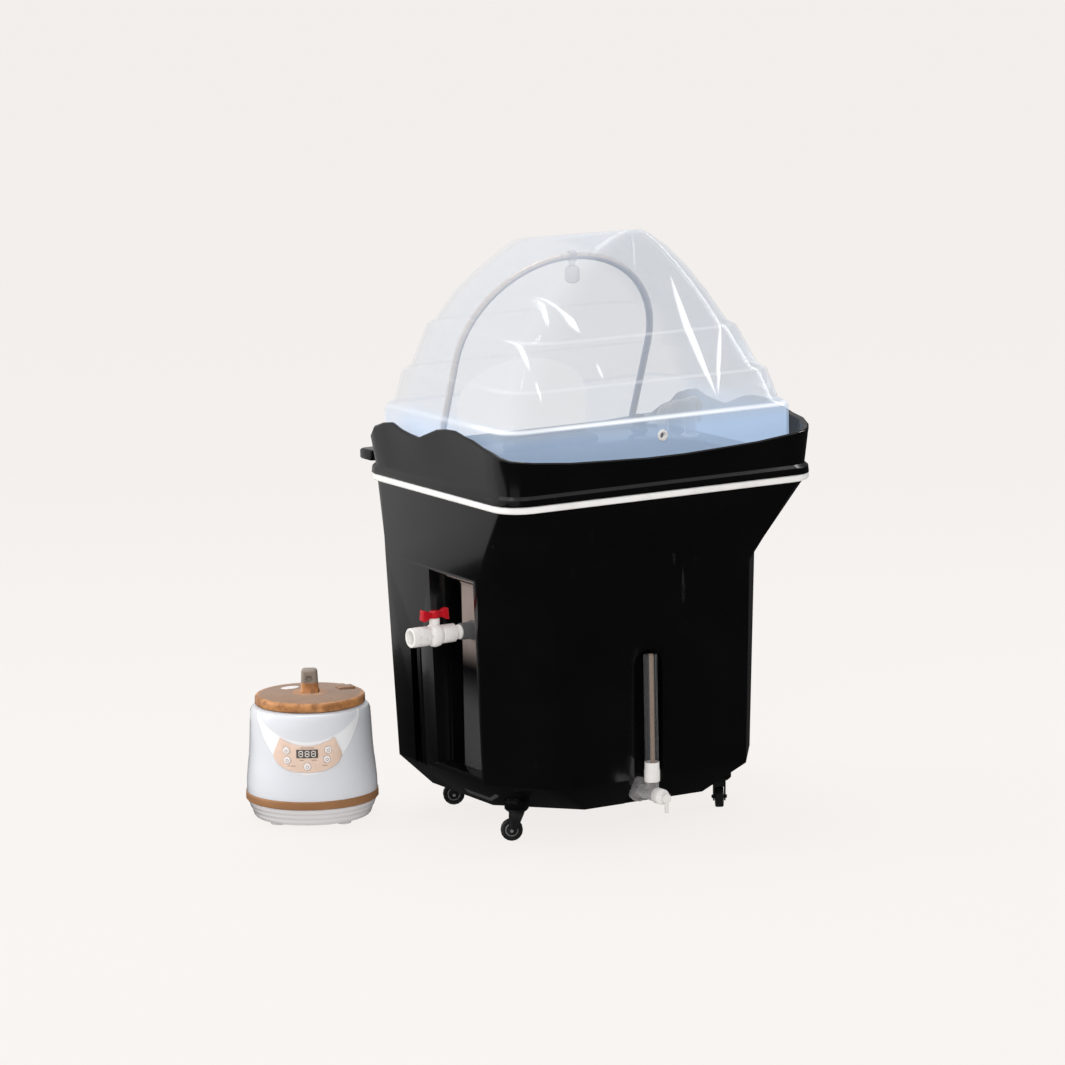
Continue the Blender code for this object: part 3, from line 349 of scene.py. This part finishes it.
def clear_fitting():
    """Clear moulded fittings, with a painted highlight where they are seen on edge."""
    paint = Paint("clear_fitting")
    facing = paint.node("ShaderNodeLayerWeight", {}, {"Blend": 0.5}, "Facing")
    haze = paint.noise(60.0, 3.0)
    # painted highlight: paler and more opaque where the surface is seen at a slant
    color = paint.mix(facing ** 2, rgb(176, 174, 174), rgb(240, 241, 243))
    return paint.surface(
        color,
        0.08 + haze * 0.1,
        Alpha=0.22 + facing ** 2 * 0.75 + haze * 0.1,
        Normal=paint.bump(haze, 0.3, 0.6),
        Specular_IOR_Level=0.8,
        Coat_Weight=0.5,
    )


TUBE_X, TUBE_Y = -10.0, -222.0


def sight_tube():
    """Clear tube with a warm streak down its back wall and a painted highlight down its sides."""
    paint = Paint("sight_tube")
    x, y, z = paint.places()
    facing = paint.node("ShaderNodeLayerWeight", {}, {"Blend": 0.5}, "Facing")
    grain = paint.noise(1.0, 3.0, 0.6, paint.stretched((200, 200, 9)))
    # across the tube as it is seen from the front left
    across = (x - TUBE_X) * 0.862 - (y - TUBE_Y) * 0.508
    band = (across - 1.5).size().below(3.6, 1.2)
    color = paint.mix(band, rgb(120, 122, 125), rgb(152, 134, 122))
    # painted highlight down the sides, where the tube is seen at a slant
    color = paint.mix(facing.above(0.72, 0.12), color, rgb(205, 207, 210))
    return paint.surface(
        color,
        0.1 + grain * 0.12,
        Alpha=0.1 + band * (0.3 + grain * 0.3) + facing.above(0.78, 0.1) * 0.55,
        Specular_IOR_Level=0.7,
    )


ARCH_HALF, ARCH_LEG, ARCH_RISE, ARCH_FOOT = 193.0, 160.0, 186.0, 650.0
ARCH_LEAN = math.radians(22)


def polished_tube():
    """Bent steel tube with painted reflections: warm on its outer side, most towards the left, and blue-grey
    on its inner side.
    """
    paint = Paint("polished_tube")
    x, _y, z = paint.places()
    streaks = paint.noise(40.0, 4.0)
    high = (z - ARCH_FOOT) / math.cos(ARCH_LEAN) - ARCH_LEG
    high = high.maths("MAXIMUM", high, 0.0) * (ARCH_HALF / ARCH_RISE)
    outer = ((x * x + high * high) ** 0.5).above(ARCH_HALF - 0.5, 2.5)
    left = x.below(90, 110)
    # painted reflections: blue-grey on the inner side, warm on the outer side, mostly on the left
    color = paint.mix(streaks, rgb(118, 136, 172), rgb(94, 112, 150))
    color = paint.mix(outer * (0.35 + left * 0.65), color, rgb(226, 204, 188))
    return paint.surface(color, 0.2 + streaks * 0.16, Metallic=0.35)


def brushed_steel():
    paint = Paint("brushed_steel")
    grain = paint.noise(1.0, 4.0, 0.6, paint.stretched((30, 30, 900)))
    color = paint.mix(grain, rgb(196, 196, 194), rgb(150, 150, 150))
    return paint.surface(color, 0.24 + grain * 0.18, Metallic=1.0, Normal=paint.bump(grain, 0.15, 0.15))


def pipe_plastic(name, light, dark, gloss=0.3):
    """Moulded pipe fittings, a little marked by handling."""
    paint = Paint(name)
    cloud = paint.noise(60.0, 4.0)
    mark = paint.noise(170.0, 5.0).above(0.66, 0.05)
    color = paint.mix(cloud, light, dark)
    color = paint.mix(mark * 0.25, color, rgb(120, 116, 110))
    return paint.surface(color, gloss + cloud * 0.12, Normal=paint.bump(cloud, 0.15, 0.5))


def glossy_white():
    """White of the steamer; its body has a raised collar that dips to the panel, its base is ribbed."""
    paint = Paint("glossy_white")
    cloud = paint.noise(12.0, 3.0)
    fine = paint.noise(600.0, 2.0)
    _far, turn, z = paint.round_steamer()
    dip = turn * turn
    collar = (z - dip * 43).below(153.5, 1.4) * (z - dip * 88).above(97.6, 1.4) * turn.size().below(1.15, 0.1)
    rib = (z * 0.72).maths("SINE", z * 0.72) * z.below(36, 2)
    color = paint.mix(cloud, rgb(222, 224, 229), rgb(212, 215, 221))
    color = paint.mix(collar * 0.75, color, rgb(244, 245, 247))
    color = paint.mix(z.below(38, 3) * 0.5, color, rgb(214, 208, 206))
    return paint.surface(
        color,
        0.16 + cloud * 0.1,
        Normal=paint.bump(fine * 0.1 + collar * 1.2 + rib * 0.6, 0.5, 1.0),
        Coat_Weight=0.5,
        Coat_Roughness=0.05,
    )


def gold_trim():
    """Satin gold, brushed round the steamer."""
    paint = Paint("gold_trim")
    grain = paint.noise(1.0, 3.0, 0.6, paint.stretched((14, 14, 700)))
    cloud = paint.noise(18.0, 3.0)
    color = paint.mix(cloud, rgb(184, 136, 94), rgb(158, 112, 76))
    return paint.surface(color, 0.3 + grain * 0.18, Metallic=0.3, Normal=paint.bump(grain, 0.12, 0.15))


def amber_sheet():
    """Smoky amber of the steamer's lid: bronze on top, gold round the rim and low on the outlet."""
    paint = Paint("amber_sheet")
    far, _turn, z = paint.round_steamer()
    cloud = paint.noise(26.0, 4.0)
    swirl = paint.noise(60.0, 4.0)
    facing = paint.node("ShaderNodeLayerWeight", {}, {"Blend": 0.4}, "Facing")
    top = paint.mix(cloud, rgb(160, 124, 96), rgb(138, 102, 74))
    gold = paint.mix(swirl.above(0.5, 0.2), rgb(206, 146, 92), rgb(150, 100, 60))
    smoke = paint.mix(cloud, rgb(164, 150, 138), rgb(126, 114, 104))
    color = paint.mix(far.above(88, 2), top, gold)
    color = paint.mix(z.above(212, 1) * far.below(30, 1), color, gold)
    color = paint.mix(z.above(238, 3), color, smoke)
    return paint.surface(
        color,
        0.24 + cloud * 0.1,
        Alpha=0.92 + facing * 0.08,
        Normal=paint.bump(swirl, 0.12, 0.4),
        Coat_Weight=0.2,
        Coat_Roughness=0.05,
    )


def panel_film():
    paint = Paint("panel_film")
    cloud = paint.noise(90.0, 3.0)
    fine = paint.noise(1500.0, 2.0)
    color = paint.mix(cloud, rgb(231, 206, 190), rgb(216, 188, 168))
    return paint.surface(color, 0.34 + cloud * 0.1, Normal=paint.bump(fine, 0.12, 0.08))


def button_film():
    paint = Paint("button_film")
    cloud = paint.noise(140.0, 3.0)
    color = paint.mix(cloud, rgb(240, 236, 235), rgb(228, 222, 220))
    return paint.surface(color, 0.3 + cloud * 0.1)


def plain_mark():
    """Printed marks and rings."""
    paint = Paint("plain_mark")
    cloud = paint.noise(400.0, 2.0)
    color = paint.mix(cloud, rgb(110, 98, 94), rgb(138, 120, 112))
    return paint.surface(color, 0.5 + cloud * 0.1)


def dark_window():
    paint = Paint("dark_window")
    cloud = paint.noise(120.0, 2.0)
    color = paint.mix(cloud, rgb(98, 90, 86), rgb(80, 73, 70))
    return paint.surface(color, 0.14 + cloud * 0.06, Coat_Weight=0.5)


def lit_digit():
    paint = Paint("lit_digit")
    cloud = paint.noise(300.0, 2.0)
    color = paint.mix(cloud, rgb(236, 232, 226), rgb(222, 216, 208))
    return paint.surface(color, 0.4, Emission_Color=color, Emission_Strength=0.25)


def cap_silver():
    paint = Paint("cap_silver")
    cloud = paint.noise(300.0, 3.0)
    color = paint.mix(cloud, rgb(206, 206, 206), rgb(160, 160, 162))
    return paint.surface(color, 0.3 + cloud * 0.15, Metallic=0.7)


def worn_pad():
    """Dark soft pad of the neck rest, with a fine leather grain."""
    paint = Paint("worn_pad")
    settings = {"feature": "DISTANCE_TO_EDGE"}
    grain = paint.node("ShaderNodeTexVoronoi", settings, {"Vector": paint.place, "Scale": 420.0}, "Distance")
    cloud = paint.noise(24.0, 4.0)
    color = paint.mix(cloud, rgb(20, 23, 28), rgb(36, 40, 46))
    return paint.surface(color, 0.42 + cloud * 0.15, Normal=paint.bump(grain.above(0.12, 0.1), 0.4, 0.25))


FINISHES = {
    "black_shell": moulded_black(),
    "white_trim": white_band(),
    "black_rubber": soft_black(),
    "clear_hood": hood_sheet(),
    "clear_plastic": clear_fitting(),
    "chrome": polished_tube(),
    "steel": brushed_steel(),
    "grey_pvc": pipe_plastic("grey_pipe", rgb(92, 93, 95), rgb(72, 73, 76)),
    "white_pvc": pipe_plastic("white_pipe", rgb(238, 236, 234), rgb(222, 219, 216)),
    "red_plastic": pipe_plastic("red_handle", rgb(196, 18, 34), rgb(160, 12, 26), 0.2),
    "steamer_white": glossy_white(),
    "gold_trim": gold_trim(),
    "amber_lid": amber_sheet(),
    "panel_beige": panel_film(),
    "display_dark": dark_window(),
    "button_beige": button_film(),
}
SILVER = cap_silver()
LIT = lit_digit()
PAD = worn_pad()
MARK = plain_mark()
PALE = button_film()
OWN_FINISH = {"gauge_tube": sight_tube(), "hose_grommet": FINISHES["white_pvc"]}
SLOTS = {entry["node"]: entry["material_slot"] for entry in frame["record"]["subparts"]}
BODY_OF = {node: obj["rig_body"] for node, obj in frame["nodes"].items()}


# ---------------------------------------------------------------- making pieces


def deselect():
    if bpy.context.mode != "OBJECT":
        bpy.ops.object.mode_set(mode="OBJECT")
    bpy.ops.object.select_all(action="DESELECT")


def activate(obj):
    deselect()
    obj.select_set(True)
    bpy.context.view_layer.objects.active = obj


def apply_modifier(obj, kind, **settings):
    activate(obj)
    step = obj.modifiers.new(kind.lower(), kind)
    for key, value in settings.items():
        setattr(step, key, value)
    bpy.ops.object.modifier_apply(modifier=step.name)


def smooth(obj, degrees=30):
    activate(obj)
    bpy.ops.object.shade_smooth_by_angle(angle=math.radians(degrees))


def wear(obj, finish):
    obj.data.materials.clear()
    obj.data.materials.append(finish)


def finished(node, finish=None, bevel=0.5, segments=2, degrees=30, flats=True):
    """A smooth copy of a CAD node with eased edges, which stands for it."""
    source = frame["nodes"][node]
    piece = bpy.data.objects.new(node + "_finished", source.data.copy())
    bpy.context.scene.collection.objects.link(piece)
    shape = bmesh.new()
    shape.from_mesh(piece.data)
    bmesh.ops.remove_doubles(shape, verts=shape.verts, dist=0.000005)
    if flats:
        bmesh.ops.dissolve_limit(shape, angle_limit=math.radians(0.4), verts=shape.verts, edges=shape.edges)
    shape.to_mesh(piece.data)
    shape.free()
    if bevel:
        limits = {"limit_method": "ANGLE", "angle_limit": math.radians(degrees)}
        apply_modifier(piece, "BEVEL", width=bevel * MM, segments=segments, harden_normals=False, **limits)
    smooth(piece, degrees)
    wear(piece, finish or FINISHES[SLOTS[node]])
    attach(piece, BODY_OF[node])
    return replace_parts(piece, node)


# ---------------------------------------------------------------- new pieces


def surface_of(node):
    """The CAD node's surface, to drop details onto."""
    shape = bmesh.new()
    shape.from_mesh(frame["nodes"][node].data)
    tree = BVHTree.FromBMesh(shape)
    shape.free()
    return tree


def onto(node, start, way):
    """Where a ray first meets a CAD node, and which way the surface faces there."""
    place, normal, _face, _far = surface_of(node).ray_cast(start, way)
    return place, normal


def dressed(name, parts, finish, body, degrees=40):
    """Joins loose shapes into one new piece that moves with a body."""
    deselect()
    for part in parts:
        part.select_set(True)
    bpy.context.view_layer.objects.active = parts[0]
    if len(parts) > 1:
        bpy.ops.object.join()
    piece = bpy.context.object
    piece.name = name
    bpy.ops.object.transform_apply(location=True, rotation=True, scale=True)
    smooth(piece, degrees)
    wear(piece, finish)
    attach(piece, body)
    return piece


def hoop(place, axis, radius, thin):
    deselect()
    turn = Vector(axis).to_track_quat("Z", "Y").to_euler()
    sizes = {"major_radius": radius * MM, "minor_radius": thin * MM}
    steps = {"major_segments": 40, "minor_segments": 8}
    bpy.ops.mesh.primitive_torus_add(location=place, rotation=turn, **steps, **sizes)
    return bpy.context.object


def disc(place, axis, radius, thick):
    deselect()
    turn = Vector(axis).to_track_quat("Z", "Y").to_euler()
    sizes = {"radius": radius * MM, "depth": thick * MM}
    bpy.ops.mesh.primitive_cylinder_add(vertices=40, location=place, rotation=turn, **sizes)
    return bpy.context.object


def tile(place, normal, width, height, thick):
    """A thin upright plate on a surface."""
    deselect()
    bpy.ops.mesh.primitive_cube_add(size=1)
    block = bpy.context.object
    up = (Vector((0, 0, 1)) - normal * normal.z).normalized()
    turn = Matrix((up.cross(normal), up, normal)).transposed().to_4x4()
    scale = Matrix.Diagonal((width * MM, height * MM, thick * MM, 1))
    block.matrix_world = Matrix.Translation(place) @ turn @ scale
    return block


def facing_steamer(degrees, z):
    """A ray towards the steamer's axis, at a turn from the middle of its panel."""
    angle = STEAMER_TURN + math.radians(degrees)
    away = Vector((math.sin(angle), -math.cos(angle), 0))
    return at(STEAMER_X, STEAMER_Y, z) + away * 0.2, -away


# turn from the middle of the panel and height of each button
BUTTONS = {
    "upper_left": (-19.0, 139.5),
    "lower_left": (-18.0, 123.0),
    "upper_right": (19.0, 140.0),
    "lower_right": (17.5, 124.0),
    "centre": (0.0, 112.4),
}
# The seven bars of a figure: across, up, wide, high, as parts of its width and height.
FIGURE = (
    (0, 0.5, 0.7, 0.12),
    (0, 0, 0.7, 0.12),
    (0, -0.5, 0.7, 0.12),
    (-0.5, 0.25, 0.16, 0.4),
    (0.5, 0.25, 0.16, 0.4),
    (-0.5, -0.25, 0.16, 0.4),
    (0.5, -0.25, 0.16, 0.4),
)


FIGURE_WIDE, FIGURE_HIGH, FIGURE_MIDDLE, FIGURE_PITCH = 6.2, 9.4, 134.9, 5.6
DEGREE_WIDE = 1.92  # how far a degree's turn goes across the window


def figures():
    """Three eights in the steamer's window, with every bar showing."""
    bars = []
    for degrees in (-FIGURE_PITCH, 0.0, FIGURE_PITCH):
        for across, rise, width, height in FIGURE:
            turn = degrees + across * FIGURE_WIDE / DEGREE_WIDE
            place, normal = onto("display", *facing_steamer(turn, FIGURE_MIDDLE + rise * FIGURE_HIGH))
            bars.append(tile(place, normal, width * FIGURE_WIDE, height * FIGURE_HIGH, 0.3))
    return dressed("figures", bars, LIT, "steamer")


# turn, height and width of each bar
PANEL_BARS = ((-5.0, 123.6, 7), (6.0, 123.6, 9), (0, 145.2, 24), (-14.0, 113.6, 14), (15.5, 113.8, 9))


def panel_marks():
    """Plain bars in place of printed words on the panel, and rings on the buttons."""
    marks = []
    for degrees, z, width in PANEL_BARS:
        place, normal = onto("control_panel", *facing_steamer(degrees, z))
        marks.append(tile(place, normal, width, 0.9, 0.24))
    dressed("panel_marks", marks, MARK, "steamer")
    for name, (degrees, z) in BUTTONS.items():
        place, normal = onto(f"button_{name}", *facing_steamer(degrees, z))
        ring = hoop(place, normal, 2.3, 0.36)
        dressed(f"button_{name}_ring", [ring], MARK, f"button_{name}")


def lid_details():
    """A blank oval plate on the lid, and the tab at its edge."""
    start = at(STEAMER_X - 10, STEAMER_Y + 54, 300)
    place, normal = onto("steamer_lid", start, DOWN)
    plate = disc(place, normal, 15, 0.6)
    plate.scale = (1.15, 0.8, 1)
    dressed("lid_plate", [plate], PALE, "steamer_lid")
    start = at(STEAMER_X + 68, STEAMER_Y - 4, 300)
    place, _normal = onto("steamer_lid", start, DOWN)
    deselect()
    turn = (0, 0, math.radians(-8))
    bpy.ops.mesh.primitive_cube_add(size=1, location=place + Vector((0, 0, 0.0015)), rotation=turn)
    tab = bpy.context.object
    tab.scale = (0.030, 0.022, 0.006)
    activate(tab)
    bpy.ops.object.transform_apply(location=False, rotation=False, scale=True)
    apply_modifier(tab, "BEVEL", width=0.0022, segments=3)
    dressed("lid_tab", [tab], FINISHES["amber_lid"], "steamer_lid")


def caster_details():
    """Bright hub rings on the wheels and bolt heads on the forks."""
    for name in CASTERS:
        joint = JOINTS[f"caster_{name}_roll"]
        hub, axis = Vector(joint["pos_m"]), Vector(joint["axis"])
        rise = Vector((0, 0, 0.010))  # off the axle, onto the flat of the wheel
        rings, bolts = [], []
        for way in (axis, -axis):
            place, _normal = onto(f"caster_{name}_wheel", hub + rise + way * 0.05, -way)
            rings.append(hoop(hub + way * (place - hub).dot(way), way, 10.2, 1.1))
            place, _normal = onto(f"caster_{name}_fork", hub + way * 0.05, -way)
            bolts.append(disc(place, way, 2.6, 1.0))
        dressed(f"caster_{name}_rings", rings, SILVER, f"caster_{name}_wheel")
        dressed(f"caster_{name}_bolts", bolts, SILVER, f"caster_{name}_swivel")


def side_hook():
    """A small ring on the side, for the drain hose."""
    place, _normal = onto("tub_shell", at(-400, 28, 214), Vector((1, 0, 0)))
    ring = hoop(place, (0.3, 1, 0), 4.6, 0.9)
    return dressed("side_hook", [ring], SILVER, "tub")


def strainer_holes():
    """Black discs in rings on the strainer, painted shade in place of its perforations; where it is open,
    there is none.
    """
    low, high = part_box("drain_strainer")
    middle = Vector(((low[0] + high[0]) / 2, (low[1] + high[1]) / 2, high[2] + 0.02))
    reach = (high[0] - low[0]) / 2
    holes = []
    for ring, count in ((0.0, 1), (0.3, 6), (0.58, 12)):
        for i in range(count):
            turn = 2 * math.pi * i / count
            spot = middle + Vector((math.cos(turn), math.sin(turn), 0)) * reach * ring
            place, normal = onto("drain_strainer", spot, DOWN)
            if place:
                # a black disc as painted shade where a perforation is
                holes.append(disc(place, normal, 1.5, 0.3))
    return dressed("strainer_holes", holes, FINISHES["black_rubber"], "tub")


PAD_SHRINK, PAD_SWELL, PAD_FRAMES = 0.95, 1.0 * MM, 20


def neck_pad():
    """The soft neck rest: swelled a little by a cloth simulation and flat where it stands on the deck."""
    pad = bpy.data.objects.new("neck_pad", frame["nodes"]["head_rest"].data.copy())
    bpy.context.scene.collection.objects.link(pad)
    apply_modifier(pad, "REMESH", mode="VOXEL", voxel_size=4 * MM)
    middle = sum((v.co for v in pad.data.vertices), Vector()) / len(pad.data.vertices)
    low = min(v.co.z for v in pad.data.vertices)
    for vertex in pad.data.vertices:
        vertex.co = middle + (vertex.co - middle) * PAD_SHRINK
        vertex.co.z = max(vertex.co.z, low)
    start = [v.co.copy() for v in pad.data.vertices]
    cloth = pad.modifiers.new("cloth", "CLOTH")
    cloth.settings.use_pressure = True
    cloth.settings.uniform_pressure_force = 4
    cloth.settings.effector_weights.gravity = 0
    cloth.point_cache.frame_start, cloth.point_cache.frame_end = 1, PAD_FRAMES
    for step in range(1, PAD_FRAMES + 1):
        bpy.context.scene.frame_set(step)
    shaped = pad.evaluated_get(bpy.context.evaluated_depsgraph_get()).data
    moved = [v.co.copy() for v in shaped.vertices]
    pad.modifiers.remove(cloth)
    bpy.context.scene.frame_set(1)
    for vertex, old, new in zip(pad.data.vertices, start, moved):
        step = new - old
        vertex.co = old + step * min(1.0, PAD_SWELL / max(step.length, 1e-9))
        vertex.co.z = max(vertex.co.z, low)
    apply_modifier(pad, "SMOOTH", factor=0.5, iterations=4)
    apply_modifier(pad, "SUBSURF", levels=1, render_levels=1)
    smooth(pad, 60)
    wear(pad, PAD)
    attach(pad, BODY_OF["head_rest"])
    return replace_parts(pad, "head_rest")


def dress_up():
    """Gives every node its finish, adds the new pieces and puts a smooth copy in place of each solid."""
    for node in frame["nodes"]:
        wear(frame["nodes"][node], OWN_FINISH.get(node, FINISHES[SLOTS[node]]))
    figures()
    panel_marks()
    lid_details()
    caster_details()
    side_hook()
    strainer_holes()
    neck_pad()
    for node in frame["nodes"]:
        if node == "hood":
            finished(node, bevel=0, degrees=25, flats=False)
        elif node != "head_rest":
            finished(node, OWN_FINISH.get(node))
    # The shell's mirror shows no steamer.
    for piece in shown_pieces():
        if str(piece.get("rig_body", "")).startswith(("steamer", "button")):
            piece.visible_glossy = False


# ---------------------------------------------------------------- studio


FRAME_WIDE = 1.8205128  # metres across the picture, at the object


def build_camera():
    """A long view from the front left, a little above."""
    azimuth, pitch, roll = math.radians(-30.5), math.radians(10.2), math.radians(-1.1)
    distance = 9.0
    target = Vector((0.0, -0.0535, 0.5063))
    level = math.cos(pitch)
    back = Vector((math.sin(azimuth) * level, -math.cos(azimuth) * level, math.sin(pitch)))
    right = (-back).cross(Vector((0, 0, 1))).normalized()
    up = right.cross(-back)
    across = right * math.cos(roll) + up * math.sin(roll)
    above = up * math.cos(roll) - right * math.sin(roll)
    data = bpy.data.cameras.new("camera")
    data.sensor_width = 36.0
    data.lens = data.sensor_width * distance / FRAME_WIDE
    data.clip_end = 60.0
    camera = bpy.data.objects.new("camera", data)
    turn = Matrix((across, above, back)).transposed().to_4x4()
    camera.matrix_world = Matrix.Translation(target + back * distance) @ turn
    bpy.context.scene.collection.objects.link(camera)
    bpy.context.scene.camera = camera


def build_floor():
    bpy.ops.mesh.primitive_plane_add(size=60, location=(0, 0, -0.0005))
    floor = bpy.context.object
    floor.name = "floor"
    paint = Paint("floor_paint")
    pale = rgb(244, 240, 237)
    glow = paint.node("ShaderNodeEmission", {}, {"Color": pale, "Strength": 1.02})
    matt = paint.node("ShaderNodeBsdfDiffuse", {}, {"Color": pale})
    both = paint.node("ShaderNodeMixShader", {}, {0: 0.07, 1: glow, 2: matt})
    paint.node("ShaderNodeOutputMaterial", {}, {"Surface": both})
    wear(floor, paint.material)
    floor.visible_glossy = False
    floor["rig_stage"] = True


def build_world():
    """Pale to the camera; in reflections dark below and in front, brighter behind and above."""
    world = bpy.data.worlds.new("studio")
    bpy.context.scene.world = world
    world.use_nodes = True
    tree = world.node_tree
    tree.nodes.clear()
    paint = Paint.__new__(Paint)
    paint.tree = tree
    direction = paint.node("ShaderNodeTexCoord", {}, {}, "Generated")
    across = paint.axis("X", direction)
    deep = paint.axis("Y", direction)
    high = paint.axis("Z", direction)
    side = (deep * 0.8 - across * 0.6).above(0.35, 0.6) * high.above(0.0, 0.02)
    glow = 0.03 + side * 0.7 + high.above(0.5, 0.4) * 0.5
    seen = paint.node("ShaderNodeLightPath", {}, {}, "Is Camera Ray")
    soft = paint.node("ShaderNodeBackground", {}, {"Color": rgb(244, 243, 243), "Strength": glow})
    plain = paint.node("ShaderNodeBackground", {}, {"Color": rgb(244, 240, 237), "Strength": 1.0})
    both = paint.node("ShaderNodeMixShader", {}, {0: seen, 1: soft, 2: plain})
    paint.node("ShaderNodeOutputWorld", {}, {"Surface": both})


def card(name, place, aim, size, strength, color=(244, 242, 242)):
    """A glowing board that only reflections show."""
    deselect()
    bpy.ops.mesh.primitive_plane_add(size=1, location=place)
    board = bpy.context.object
    board.name = name
    board.scale = (size[0], size[1], 1)
    board.rotation_euler = (Vector(aim) - Vector(place)).to_track_quat("Z", "Y").to_euler()
    paint = Paint(name + "_paint")
    glow = paint.node("ShaderNodeEmission", {}, {"Color": rgb(*color), "Strength": strength})
    paint.node("ShaderNodeOutputMaterial", {}, {"Surface": glow})
    wear(board, paint.material)
    for kind in ("camera", "diffuse", "transmission", "volume_scatter", "shadow"):
        setattr(board, "visible_" + kind, False)
    board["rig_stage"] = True


def build_cards():
    card("wall", (-0.72, 0.94, 1.0), (-0.14, -0.05, 1.0), (7.0, 2.0), 0.52)
    card("front_board", (-2.6, -2.7, 0.9), (0.0, 0.0, 0.5), (2.6, 2.2), 0.3)


def lamp(name, place, aim, size, power, glossy=True):
    data = bpy.data.lights.new(name, "AREA")
    data.shape = "RECTANGLE"
    data.size, data.size_y = size
    data.energy = power
    obj = bpy.data.objects.new(name, data)
    obj.location = place
    obj.rotation_euler = (Vector(place) - Vector(aim)).to_track_quat("Z", "Y").to_euler()
    obj.visible_glossy = glossy
    bpy.context.scene.collection.objects.link(obj)


def build_lights():
    lamp("front_fill", (-2.6, -4.2, 2.6), (-0.1, 0, 0.4), (2.4, 2.4), 150, glossy=False)
    lamp("top", (0.2, 0.4, 3.4), (0, 0, 0.6), (2.0, 2.0), 60)
    lamp("left_strip", (-3.2, 2.0, 1.6), (0, 0, 0.5), (0.8, 2.6), 60)
    lamp("right_strip", (3.0, -0.8, 2.2), (0, 0, 0.7), (0.5, 1.6), 25)


def build_studio():
    build_camera()
    build_floor()
    build_world()
    build_lights()
    build_cards()
    bpy.context.scene.view_settings.view_transform = "Standard"


build_studio()
dress_up()

bpy.context.view_layer.update()
